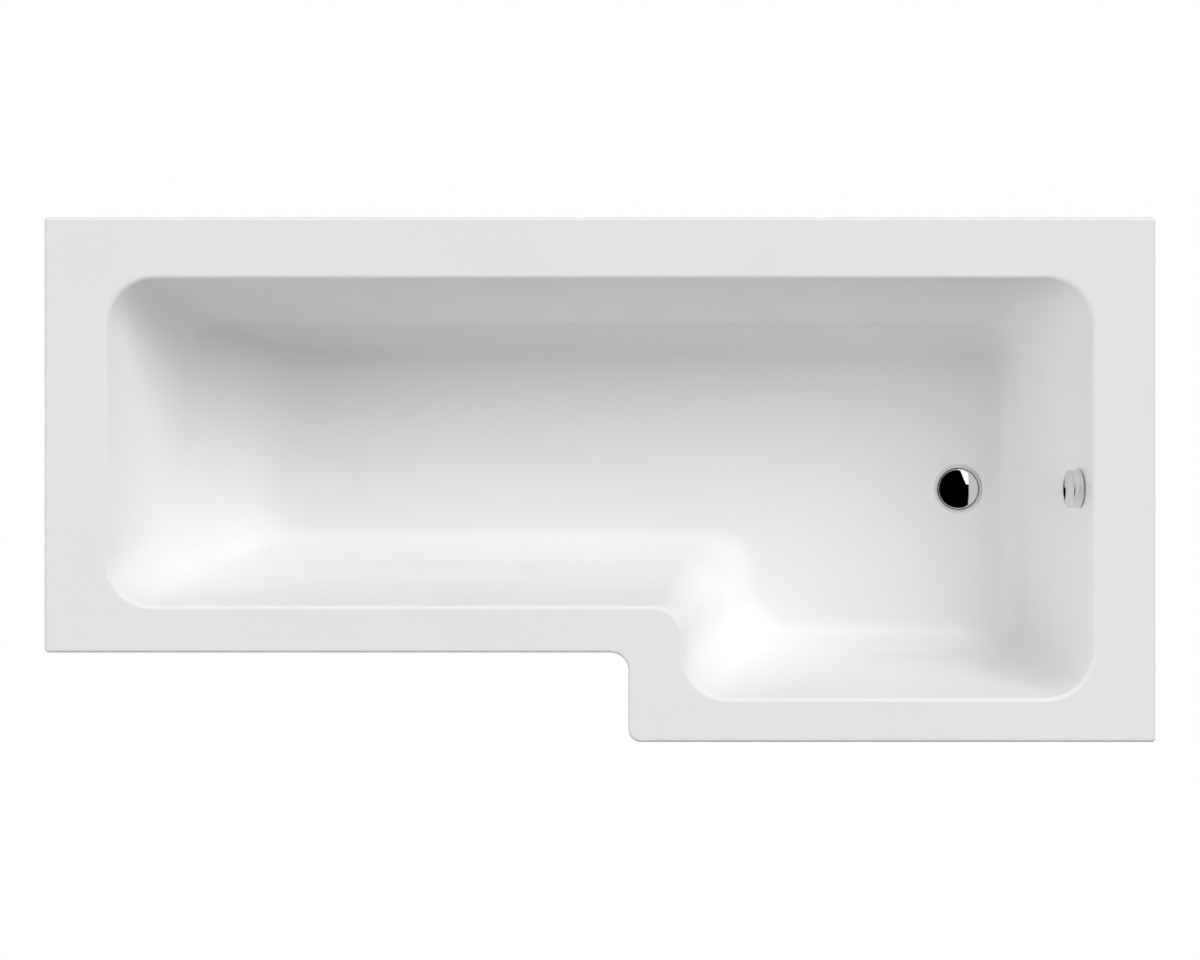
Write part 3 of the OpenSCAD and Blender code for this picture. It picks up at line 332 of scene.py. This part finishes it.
def section(side, part, t, back):
    """Inward offset and depth at a share t of a wall's part: its edge at the rim, wall or foot."""
    slope, foot = side.slope, side.foot
    if part == "wall":
        top, low = section(side, "edge", 1, back), section(side, "foot", 0, back)
        return [a + (b - a) * t for a, b in zip(top, low)]
    if part == "edge":
        turn = (math.pi / 2 - slope) * t
        r = edge_r - back
        return [-edge_r / 2 + r * math.sin(turn), edge_r - r * math.cos(turn)]
    turn = slope + (math.pi / 2 - slope) * t
    run = -edge_r / 2 + (edge_r + foot) * math.cos(slope)
    run += (well_depth - (foot + edge_r) * (1 - math.sin(slope))) * math.tan(slope)
    r = foot + back
    return [run - r * math.cos(turn), well_depth - foot + r * math.sin(turn)]


def loop(line, height, radius):
    """A closed line round the bath, from each side's place and height and each corner's radius."""
    curves = []
    for i, c in enumerate(corners):
        inside = 1 if c.sweep > 0 else -1
        r = radius(c)
        cx = line(c.end) + c.end.inward * inside * r
        cy = line(c.flank) + c.flank.inward * inside * r
        curve = []
        for k in range(corner_steps + 1):
            t = k / corner_steps
            a = math.radians(c.start + c.sweep * t)
            end_share = t if i % 2 == 0 else 1 - t
            end_share = end_share * end_share * (3 - 2 * end_share)
            z = height(c.end) * end_share + height(c.flank) * (1 - end_share)
            curve.append(Vector((cx + r * math.cos(a), cy + r * math.sin(a), z)))
        curves.append(curve)
    points = []
    for i, curve in enumerate(curves):
        start, end = curve[-1], curves[(i + 1) % len(curves)][0]
        points += curve + [start.lerp(end, share) for share in straight_shares[i]]
    return points


def well_loop(part, t, back=0.0):
    """The line round the well at one level, on the inner face or on the back of the sheet."""
    if part == "wall":
        top, low = well_loop("edge", 1, back), well_loop("foot", 0, back)
        return [a.lerp(b, t) for a, b in zip(top, low)]
    share = section(wall, part, t, 0)[1] / well_depth
    spread = section(wall, part, t, 0)[0] - section(wall, part, t, back)[0]
    return loop(
        lambda s: s.place + s.inward * (s.rim + section(s, part, t, back)[0]),
        lambda s: rim_z - section(s, part, t, back)[1],
        lambda c: c.rim_r + (c.floor_r - c.rim_r) * share + (spread if c.sweep > 0 else -spread),
    )


def lip_loop(inset, z):
    """The line round the outside of the bath, drawn in by an inset."""
    return loop(
        lambda s: s.place + s.inward * inset,
        lambda s: z,
        lambda c: max(c.outer_r - inset, least_corner_r) if c.sweep > 0 else c.outer_r + inset,
    )


def waste_loop(like, r, z):
    """A circle round the waste, with its points in the directions of another line's points."""
    made = []
    for p in like:
        a = math.atan2(p.y - waste_at.y, p.x - waste_at.x)
        made.append(Vector((waste_at.x + r * math.cos(a), waste_at.y + r * math.sin(a), z)))
    return made


def between(a, b, shares):
    """Lines from one line of points to another, at shares of the way."""
    return [[p.lerp(q, t) for p, q in zip(a, b)] for t in shares]


# Rings of points from the waste hole over its seat, the floor, the walls, the rim and the lip, and then
# back behind them to the hole.
waste_at = Vector((waste_x, waste_y, 0))
foot_line, under_line = well_loop("foot", 1), well_loop("foot", 1, thick)
hole_line = waste_loop(foot_line, hole_r, under_z)
seat_radii = (hole_r, hole_r + support, seat_r - seat_edge - seat_ease / 2)
rings = [hole_line] + [waste_loop(foot_line, r, seat_z) for r in seat_radii]
for degrees in (5, 20, 40, 60, 80):
    a = math.radians(degrees)
    r = seat_r + seat_edge * (1 - math.cos(a)) - seat_ease
    rings.append(waste_loop(foot_line, r, seat_z + seat_drop * math.sin(a)))
rings += [waste_loop(foot_line, seat_r + out, floor_z) for out in (seat_edge, 0.002, 0.006)]
rings += between(rings[-1], foot_line, (0.1, 0.25, 0.45, 0.65, 0.85, 0.97))
rings += [well_loop("foot", 1 - k / foot_steps) for k in range(foot_steps)] + [well_loop("foot", 0)]
wall_shares = [0.01, 0.04, 0.12, 0.25, 0.4, 0.55, 0.7, 0.84, 0.94, 0.985]
rings += [well_loop("wall", 1 - t) for t in wall_shares]
rings += [well_loop("edge", 1 - k / edge_steps) for k in range(edge_steps)] + [well_loop("edge", 0)]
rings += between(rings[-1], lip_loop(outer_edge_r, rim_z), (0.008, 0.06, 0.35, 0.65, 0.94, 0.992))
for k in range(outer_steps + 1):
    a = math.pi / 2 * k / outer_steps
    rings.append(lip_loop(outer_edge_r * (1 - math.sin(a)), rim_z - outer_edge_r * (1 - math.cos(a))))
rings += [lip_loop(0, rim_z - outer_edge_r - support), lip_loop(0, lip_z + lip_edge_r)]
rings += [lip_loop(lip_edge_r / 3, lip_z + lip_edge_r / 4), lip_loop(lip_edge_r, lip_z)]
front_rings = len(rings)
under_rim = lip_loop(thick + lip_bend, rim_z - thick)
rings += [lip_loop(thick - lip_edge_r, lip_z), lip_loop(thick, lip_z + lip_edge_r)]
rings += [lip_loop(thick, rim_z - thick - lip_bend), under_rim]
rings += between(under_rim, well_loop("edge", 0, thick), (0.3, 0.6, 0.99, 1))
rings += [well_loop("edge", (k + 1) / back_edge_steps, thick) for k in range(back_edge_steps)]
rings += [well_loop("wall", t, thick) for t in (0.02, 0.3, 0.6, 0.98)]
rings += [well_loop("foot", k / back_foot_steps, thick) for k in range(back_foot_steps + 1)]
rings += between(under_line, hole_line, (0.03, 0.3, 0.6, 0.85, 0.97))
rings.append(rings[0])
shell_form = swept(rings)
back = shell_form.verts.layers.float.new("back")
per_ring = len(rings[0])
shell_form.verts.index_update()
for v in shell_form.verts:
    v[back] = float(v.index >= front_rings * per_ring)
bmesh.ops.remove_doubles(shell_form, verts=shell_form.verts, dist=1e-5)
bmesh.ops.recalc_face_normals(shell_form, faces=shell_form.faces)

acrylic, skin, place = finish_of(
    "white_acrylic", (0.92, 0.922, 0.925), 0.34, IOR=1.49, Coat_Weight=0.1, Coat_Roughness=0.08
)
behind = place.node("Attribute", {"attribute_name": "back"}, out=2)
tone = place.noise(3.5, 2).above(0.3, 0.7)
front_colour = tone.blend((0.924, 0.926, 0.928, 1), (0.912, 0.915, 0.918, 1))
strand = (6, 0.5, 1)
strands = place.noise(90, 3, strand, (0, 0, 0.4))
strands = strands.maths("MAXIMUM", place.noise(90, 3, strand, (0, 0, 1.5)))
strands = strands.maths("MAXIMUM", place.noise(90, 3, strand, (0.9, 0.4, 2.6))).above(0.52, 0.7)
back_colour = strands.blend((0.76, 0.73, 0.63, 1), (0.88, 0.86, 0.79, 1))
smear = place.noise(14, 3).above(0.35, 0.75)
feed(
    skin,
    Base_Color=behind.blend(front_colour, back_colour),
    Roughness=0.32 + smear * 0.05 + behind * 0.2,
    Coat_Weight=0.1 - behind * 0.1,
    Normal=place.bump(place.noise(24, 2) * (1 - behind) * 0.015 + strands * behind, 0.0006),
)
shell = piece_of(shell_form, "acrylic_shell", acrylic, "bath", "bath_shell", crease=40)


def at_overflow(height):
    """The place of a height above the sloping wall at the overflow, with z into the well."""
    tilt = Matrix.Rotation(-turn_down, 4, "Y")
    return Matrix.Translation(overflow_at) @ tilt @ Matrix.Translation((0, 0, height))


def applied(made):
    """A mesh of an object with its modifiers applied."""
    bpy.context.view_layer.update()
    finished = made.evaluated_get(bpy.context.evaluated_depsgraph_get())
    return bpy.data.meshes.new_from_object(finished)


drill_r, drill_l, drill_height = 0.023, 0.03, -0.003
drill_form = bmesh.new()
bmesh.ops.create_cone(
    drill_form, cap_ends=True, segments=96, radius1=drill_r, radius2=drill_r, depth=drill_l,
    matrix=at_overflow(drill_height),
)
drill = placed("drill", mesh_of(drill_form, "drill"))
cut = shell.modifiers.new("overflow_hole", "BOOLEAN")
cut.operation, cut.object, cut.solver = "DIFFERENCE", drill, "EXACT"
shell.data = applied(shell)
shell.modifiers.clear()
bpy.data.objects.remove(drill)


# Plug cap and waste flange
# Turned brass, polished and chromed. The cap is a low dome on the pop-up stem, and the flange ring is
# set in the floor's recess and screwed down on the waste body. Two webs hold its stem guide.
def turned(profile, place_at, steps=144):
    """A solid turned from a closed profile of radius and height, then set in place."""
    form = bmesh.new()
    line = [form.verts.new((r, 0, z)) for r, z in profile]
    for k, v in enumerate(line):
        form.edges.new((v, line[(k + 1) % len(line)]))
    bmesh.ops.spin(
        form, geom=form.verts[:] + form.edges[:], cent=(0, 0, 0), axis=(0, 0, 1), angle=2 * math.pi,
        steps=steps, use_merge=True,
    )
    bmesh.ops.remove_doubles(form, verts=form.verts, dist=1e-6)
    bmesh.ops.dissolve_degenerate(form, edges=form.edges, dist=1e-7)
    bmesh.ops.recalc_face_normals(form, faces=form.faces)
    bmesh.ops.transform(form, matrix=place_at, verts=form.verts)
    return form


def arc(cx, cz, r, start, end, n):
    """Points of a profile's rounding, from one angle to another in degrees."""
    return [
        (cx + r * math.cos(a), cz + r * math.sin(a))
        for a in (math.radians(start + (end - start) * k / n) for k in range(n + 1))
    ]


def at_waste(z):
    """The place of a height on the axis of the waste."""
    return Matrix.Translation((waste_at.x, waste_at.y, z))


chrome, skin, place = finish_of("chrome", (0.76, 0.77, 0.78), 0.045, 1.0)
wipe = place.noise(60, 3, (1, 0.25, 1), (0, 0, 0.5)).above(0.4, 0.75)
feed(
    skin,
    Base_Color=wipe.blend((0.77, 0.775, 0.78, 1), (0.74, 0.75, 0.76, 1)),
    Roughness=0.025 + wipe * 0.03,
    Normal=place.bump(place.noise(240, 2), 0.00001),
)
cap_z, cap_t, cap_rise, cap_r = 0.1633, 0.0022, 0.0028, 0.0325
cap_bore_r, cap_bore_l = 0.003, 0.0015
cap_edge = cap_t / 2
cap_flat_r = cap_r - cap_edge
dome_r = (cap_flat_r**2 + cap_rise**2) / (2 * cap_rise)
dome_z = cap_t + cap_rise - dome_r
dome_side = math.degrees(math.atan2(cap_t - dome_z, cap_flat_r))
cap_profile = [(cap_bore_r, 0), (cap_flat_r, 0)]
cap_profile += arc(cap_flat_r, cap_edge, cap_edge, -90, 75, 12)[1:]
cap_profile += arc(0, dome_z, dome_r, dome_side + 0.4, 89.999, 20)
cap_profile += [(0.0, cap_bore_l), (cap_bore_r, cap_bore_l)]
piece_of(
    turned(cap_profile, at_waste(cap_z)), "plug_dome", chrome, "plug", "plug_cap", crease=50
)

flange_r, flange_t, flange_top = 0.035, 0.0024, 0.1614
tail_r, tail_in, tail_l, throat_edge = 0.023, 0.0205, 0.017, 0.0012
tail_end = flange_top - tail_l
web_l, web_w, web_h, web_edge = 2 * tail_in + 0.001, 0.003, 0.005, 0.0005
guide_in, guide_r, guide_h, guide_edge = 0.00306, 0.006, 0.008, 0.0005
flange_profile = [(tail_in, tail_end), (tail_r, tail_end), (tail_r, flange_top - flange_t)]
flange_profile += arc(flange_r - flange_t / 2, flange_top - flange_t / 2, flange_t / 2, -90, 90, 16)
flange_profile += arc(tail_in + throat_edge, flange_top - throat_edge, throat_edge, 90, 180, 6)
flange_form = turned(flange_profile, at_waste(0))
web_size = Matrix.Diagonal((web_l, web_w, web_h, 1))
for web_turn in (0, math.pi / 2):
    web_place = at_waste(tail_end + web_h / 2) @ Matrix.Rotation(web_turn, 4, "Z")
    web = bmesh.ops.create_cube(flange_form, size=1, matrix=web_place @ web_size)
    edges = {e for v in web["verts"] for e in v.link_edges}
    bmesh.ops.bevel(
        flange_form, geom=list(edges), offset=web_edge, segments=2, profile=0.5, affect="EDGES",
        material=-1,
    )
guide_profile = [(guide_in, 0), (guide_r, 0)]
guide_profile += arc(guide_r - guide_edge, guide_h - guide_edge, guide_edge, 0, 90, 4)
guide_profile += [(guide_in, guide_h)]
guide = mesh_of(turned(guide_profile, at_waste(tail_end), 48), "guide")
flange_form.from_mesh(guide)
bpy.data.meshes.remove(guide)
piece_of(flange_form, "waste_ring", chrome, "bath", "waste_flange", crease=40)

# Overflow knob
# A chromed cup on the control spindle, a hand's turn of which lifts the plug. Its face is crowned by
# half a millimetre, and water runs in behind its open back.
knob_r, knob_t, knob_wall, knob_face, knob_gap = 0.03075, 0.018, 0.0025, 0.003, 0.0018
knob_edge, knob_fillet, knob_brim, knob_ease, knob_hold = 0.0022, 0.001, 0.0006, 0.0004, 0.001
crown = math.radians(2.2)
boss_r, boss_z = 0.008, 0.003
socket_r, socket_top = 0.00406, 0.0141
inner_r, inner_z = knob_r - knob_wall, knob_t - knob_face
flat_r = knob_r - knob_edge
crown_r = flat_r / math.sin(crown)
crown_h = crown_r * (1 - math.cos(crown))
edge_z = knob_t - crown_h - knob_edge
knob_profile = [(socket_r, boss_z), (boss_r, boss_z)]
knob_profile += [(boss_r, inner_z - knob_fillet), (boss_r + knob_fillet, inner_z)]
knob_profile += [(inner_r - knob_fillet, inner_z), (inner_r, inner_z - knob_fillet)]
knob_profile += [(inner_r, knob_ease), (inner_r + knob_ease, 0)]
knob_profile += arc(knob_r - knob_brim, knob_brim, knob_brim, -90, 0, 5)
knob_profile += [(knob_r, knob_hold), (knob_r, edge_z - knob_hold)]
knob_profile += arc(flat_r, edge_z, knob_edge, 0, 88, 16)
knob_profile += arc(0, knob_t - crown_r, crown_r, 90 - math.degrees(crown), 90, 16)
knob_profile += [(0.0, socket_top), (socket_r, socket_top)]
knob_form = turned(knob_profile, at_overflow(knob_gap))
piece_of(knob_form, "overflow_knob", chrome, "knob", "control_knob", crease=40)


# Overflow plate, spindle and screws
# Small turned and pressed parts behind the knob: a slotted chromed plate, a brass spindle and
# zinc-plated screws.
def dressed(node, name, material, body, width):
    """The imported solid, its loose faces joined and its edges eased as the tool or mould leaves them."""
    crease = 30
    form = bmesh.new()
    form.from_mesh(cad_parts[node].data)
    bmesh.ops.remove_doubles(form, verts=form.verts, dist=2e-6)
    bmesh.ops.dissolve_limit(form, angle_limit=math.radians(0.5), verts=form.verts, edges=form.edges)
    made = piece_of(form, name, material, body, node, crease)
    ease = made.modifiers.new("eased_edges", "BEVEL")
    ease.width, ease.segments = width, 2
    ease.limit_method, ease.angle_limit = "ANGLE", math.radians(crease)


zinc, skin, place = finish_of("zinc_plate", (0.66, 0.68, 0.71), 0.3, 1.0)
dull = place.noise(120, 4).above(0.35, 0.7)
feed(
    skin,
    Base_Color=dull.blend((0.70, 0.72, 0.75, 1), (0.55, 0.56, 0.58, 1)),
    Roughness=0.24 + dull * 0.2,
    Normal=place.bump(place.noise(1500, 3), 0.00004),
)
brass, skin, place = finish_of("brass", (0.72, 0.52, 0.22), 0.26, 1.0)
tarnish = place.noise(90, 4).above(0.4, 0.75)
feed(
    skin,
    Base_Color=tarnish.blend((0.76, 0.56, 0.25, 1), (0.55, 0.36, 0.14, 1)),
    Roughness=0.2 + tarnish * 0.22,
    Normal=place.bump(place.noise(1600, 2), 0.00003),
)
dressed("overflow_plate", "slotted_plate", chrome, "bath", 0.0003)
dressed("plate_screws", "plate_fixing_screws", zinc, "bath", 0.0003)
dressed("knob_spindle", "drum_spindle", brass, "knob", 0.0003)
dressed("knob_screw", "grub_screw", zinc, "knob", 0.0002)

# Overflow elbow and cover
# Moulded in white polypropylene: the elbow is pulled against the back of the shell on a rubber ring,
# and its gear chamber is closed by a push-in cover.
fitting, skin, place = finish_of("moulded_fitting", (0.80, 0.81, 0.80), 0.38, IOR=1.49)
flow = place.noise(30, 3).above(0.35, 0.7)
feed(
    skin,
    Base_Color=flow.blend((0.82, 0.83, 0.82, 1), (0.76, 0.77, 0.755, 1)),
    Roughness=0.33 + flow * 0.12,
    Normal=place.bump(place.noise(1800, 2), 0.00006),
)
seal, skin, place = finish_of("rubber_seal", (0.02, 0.02, 0.02), 0.62)
bloom = place.noise(110, 4).above(0.4, 0.8)
feed(
    skin,
    Base_Color=bloom.blend((0.016, 0.016, 0.017, 1), (0.05, 0.05, 0.05, 1)),
    Roughness=0.55 + bloom * 0.2,
    Normal=place.bump(place.noise(1200, 3), 0.00008),
)
dressed("overflow_body", "overflow_elbow", fitting, "bath", 0.0007)
dressed("overflow_cover", "gear_cover", fitting, "bath", 0.0006)
dressed("overflow_seal", "overflow_ring", seal, "bath", 0.0006)
dressed("cable_glands", "cable_end_glands", brass, "bath", 0.0003)
dressed("hose_clips", "hose_band_clips", zinc, "bath", 0.0002)

# Waste body, lifter and seals
# The moulded waste chamber under the floor with its spigot for the hose, and inside it the rocker that
# the cable turns to lift the plug stem. Rubber rings seal both sides of the floor.
dressed("waste_body", "waste_chamber", fitting, "bath", 0.0007)
dressed("lifter_rocker", "plug_lifter", fitting, "lifter", 0.0004)
dressed("rocker_pin", "lifter_pin", zinc, "bath", 0.0003)
dressed("flange_seal", "flange_ring", seal, "bath", 0.0003)
dressed("under_seal", "chamber_ring", seal, "bath", 0.0006)
dressed("plug_seal", "plug_ring", seal, "plug", 0.0004)
dressed("plug_stem", "plug_rod", brass, "plug", 0.0004)
dressed("stem_nut", "plug_nut", brass, "plug", 0.0003)

# Trap
# A shallow white trap that hangs from the waste by its ring nut, with a rodding eye under its cap and
# a compression outlet for the pipe.
dressed("trap_body", "shallow_trap", fitting, "bath", 0.0007)
dressed("trap_nut", "trap_ring_nut", fitting, "bath", 0.0006)
dressed("trap_outlet_nut", "outlet_ring_nut", fitting, "bath", 0.0006)
dressed("trap_eye_cap", "rodding_eye_cap", fitting, "bath", 0.0006)
dressed("trap_washer", "trap_ring", seal, "bath", 0.0005)
dressed("trap_outlet_seal", "outlet_ring", seal, "bath", 0.0005)

# Base board
# A chipboard panel bonded under the flat of the floor and sealed in resin, which dries to a pale haze
# over the chips. It spreads the load to the legs.
board, skin, place = finish_of("resin_sealed_board", (0.50, 0.38, 0.24), 0.42, IOR=1.5, Coat_Weight=0.3)
chips = place.node("TexVoronoi", None, {"Vector": place, "Scale": 300.0}, out=1)
chip_tone = chips.node("SeparateColor", None, {0: chips})
chip_colour = chip_tone.blend((0.36, 0.25, 0.14, 1), (0.66, 0.52, 0.34, 1))
haze = place.noise(11, 4).above(0.4, 0.75)
feed(
    skin,
    Base_Color=(haze * 0.45).blend(chip_colour, (0.74, 0.68, 0.56, 1)),
    Roughness=0.3 + chip_tone * 0.25,
    Normal=place.bump(chip_tone * 0.5 + place.noise(260, 3) * 0.5, 0.0003),
)
dressed("base_board", "floor_board", board, "bath", 0.0008)


# Battens
# Planed softwood strips stapled and resined under the rim. The back one also carries the wall
# brackets.
def timber_of(name, stretch, fine_stretch):
    """Sawn pine, with its grain along the axis that the patterns are stretched on."""
    made, skin, place = finish_of(name, (0.70, 0.52, 0.31), 0.58)
    drift = place.noise(26, 3, stretch)
    rings_at = place.node("VectorMath", {"operation": "MULTIPLY"}, {0: place, 1: stretch})
    spread = rings_at.node("VectorMath", {"operation": "LENGTH"}, {0: rings_at}, out=1)
    grain = (spread * 700 + drift * 14).maths("SINE") * 0.5 + 0.5
    fibre = place.noise(900, 3, fine_stretch)
    feed(
        skin,
        Base_Color=(grain * 0.7 + fibre * 0.3).blend((0.76, 0.60, 0.38, 1), (0.60, 0.41, 0.21, 1)),
        Roughness=0.5 + fibre * 0.2,
        Normal=place.bump(fibre * 0.7 + grain * 0.3, 0.00025),
    )
    return made


timber_x = timber_of("pine_lengthwise", (0.05, 1, 1), (0.025, 0.5, 1))
timber_y = timber_of("pine_crosswise", (1, 0.05, 1), (1, 0.025, 1))
for node, material in (
    ("back_batten", timber_x),
    ("narrow_batten", timber_x),
    ("wide_batten", timber_x),
    ("head_batten", timber_y),
    ("tap_batten", timber_y),
):
    dressed(node, node + "_strip", material, "bath", 0.0008)

# Leg rails and brackets
# Channels and straps pressed from galvanised sheet: two rails under the board, the hat bracket of the
# middle foot, and the brackets that hold the wall side.
galvanised, skin, place = finish_of("galvanised_sheet", (0.60, 0.62, 0.63), 0.4, 1.0)
spangle = place.node("TexVoronoi", None, {"Vector": place, "Scale": 95.0}, out=1)
spangle = spangle.node("SeparateColor", None, {0: spangle})
feed(
    skin,
    Base_Color=spangle.blend((0.52, 0.54, 0.56, 1), (0.72, 0.73, 0.74, 1)),
    Roughness=0.3 + spangle * 0.22,
    Normal=place.bump(place.noise(700, 3), 0.00005),
)
for node in ("leg_rail_head", "leg_rail_tap", "centre_bracket", "wall_brackets"):
    dressed(node, node + "_pressing", galvanised, "bath", 0.0005)

# Screws and nuts
# Zinc-plated wood screws up into the board and the back batten, and the pairs of nuts that clamp
# each foot's stud.
for node in ("rail_screws", "bracket_screws", "leg_nuts"):
    dressed(node, node + "_set", zinc, "bath", 0.0003)

# Feet
# Five screw feet: a zinc-plated stud, threaded from end to end and turned up or down in its nuts, on
# a pad moulded in black plastic.
thread_pitch, thread_depth, crest_start, crest_end = 0.0015, 0.61, 0.42, 0.58
thread_steps, chamfer = 24, 0.2
pad, skin, place = finish_of("moulded_pad", (0.045, 0.046, 0.05), 0.5)
scuff = place.noise(70, 4).above(0.45, 0.8)
feed(
    skin,
    Base_Color=scuff.blend((0.035, 0.036, 0.04, 1), (0.11, 0.11, 0.11, 1)),
    Roughness=0.42 + scuff * 0.25,
    Normal=place.bump(place.noise(1100, 3), 0.0001),
)


def threaded(r, pitch, low, high, x, y):
    """A threaded rod: one thread's flanks turned up a helix, cut off square at both ends, chamfered."""
    form = bmesh.new()
    root, turns = r - thread_depth * pitch, math.ceil((high - low) / pitch) + 3
    flanks = [(root, 0.0), (r, crest_start), (r, crest_end), (root, 1.0)]
    line = [form.verts.new((across, 0, low + (up - 2) * pitch)) for across, up in flanks]
    for pair in zip(line, line[1:]):
        form.edges.new(pair)
    blank = placed("flanks", mesh_of(form, "flanks"))
    helix = blank.modifiers.new("helix", "SCREW")
    helix.axis, helix.angle, helix.screw_offset, helix.iterations = "Z", 2 * math.pi, pitch, turns
    helix.steps = helix.render_steps = thread_steps
    wound = applied(blank)
    form = bmesh.new()
    form.from_mesh(wound)
    bpy.data.objects.remove(blank)
    bpy.data.meshes.remove(wound)
    bmesh.ops.remove_doubles(form, verts=form.verts, dist=1e-5)
    for end, side in ((low, -1), (high, 1)):
        bmesh.ops.bisect_plane(
            form, geom=form.verts[:] + form.edges[:] + form.faces[:], dist=1e-6,
            plane_co=(0, 0, end), plane_no=(0, 0, side), clear_outer=True,
        )
    bmesh.ops.holes_fill(form, edges=[e for e in form.edges if e.is_boundary])
    for v in form.verts:
        nearest = min(v.co.z - low, high - v.co.z)
        v.co.xy *= 1 - chamfer * max(0, 1 - nearest / pitch)
    bmesh.ops.recalc_face_normals(form, faces=form.faces)
    bmesh.ops.translate(form, vec=(x, y, 0), verts=form.verts)
    return form


for foot in ("head_wall", "head_room", "tap_wall", "tap_room", "centre"):
    dressed("foot_pad_" + foot, "pad_" + foot, pad, "foot_" + foot, 0.0006)
    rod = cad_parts["foot_stud_" + foot].bound_box
    lowest, highest = Vector(rod[0]), Vector(rod[6])
    middle, rod_r = (lowest + highest) / 2, (highest.x - lowest.x) / 2
    piece_of(
        threaded(rod_r, thread_pitch, lowest.z, highest.z, middle.x, middle.y),
        "stud_" + foot, zinc, "foot_" + foot, "foot_stud_" + foot, crease=30,
    )

# Floor and light
# A plain white floor, a broad soft light high on the wall side, a lower one from the backrest's side,
# and a studio whose pale walls the chrome mirrors.
floor_size, floor_drop = 60, 0.0205
floor_form = bmesh.new()
bmesh.ops.create_grid(floor_form, x_segments=1, y_segments=1, size=floor_size)
floor = placed("floor", mesh_of(floor_form, "floor"))
floor.location.z = -floor_drop
floor_paint = bpy.data.materials.new("floor_white")
floor_paint.use_nodes = True
tree = floor_paint.node_tree
tree.nodes.remove(tree.nodes["Principled BSDF"])
rays = Wire(tree).node("LightPath", out="Is Camera Ray")
glow = rays.node("Emission", None, {0: (1, 1, 1, 1), 1: rays * 0.66 + 0.34})
tree.links.new(glow.socket, tree.nodes["Material Output"].inputs[0])
floor.data.materials.append(floor_paint)

for name, energy, width, azimuth, height in (
    ("wall_side_light", 2.48, 52, 50, 49),
    ("backrest_side_light", 1.3, 50, 187, 24),
):
    light = placed(name, bpy.data.lights.new(name, "SUN"))
    light.data.energy, light.data.angle = energy, math.radians(width)
    light.visible_glossy = False
    light.rotation_euler = (0, math.radians(90 - height), math.radians(azimuth))

world = bpy.data.worlds.new("studio")
bpy.context.scene.world = world
world.use_nodes = True
tree = world.node_tree
seen = Wire(tree).node("LightPath", out="Is Camera Ray")
gloss = Wire(tree).node("LightPath", out="Is Glossy Ray")
towards = Wire(tree).node("TexCoord", out="Generated")
east, north, up = (towards.node("SeparateXYZ", None, {0: towards}, out=k) for k in range(3))

# Only glossy rays see these: the wall beyond the taps with a bright strip beside it, the walls on both
# sides, a low band all round and a window beyond the backrest. The rest is black.
tap_wall = (east + north * north * 0.2).above(0.195, 0.205)
strip = (east + north * 0.414).above(0.180, 0.188) * north.above(0.082, 0.09) * (1 - tap_wall)
side_walls = north.maths("ABSOLUTE").above(0.42, 0.5)
low_band = 1 - up.above(0.1, 0.26)
window = (0 - east).above(0.7, 0.72) * north.above(0.02, 0.04) * up.above(0.42, 0.44)
mirrored = tap_wall * 0.68
for mask, brightness in ((strip, 1.5), (side_walls, 0.55), (low_band, 0.5), (window, 1.2)):
    mirrored = mirrored.maths("MAXIMUM", mask * brightness)
soft = 0.08 + (1 - up.above(0.1, 0.35)) * 0.28
studio = (soft * (1 - gloss) + mirrored * gloss) * (1 - seen) + seen
tree.nodes["Background"].inputs["Color"].default_value = (1, 1, 1, 1)
tree.links.new(studio.socket, tree.nodes["Background"].inputs["Strength"])
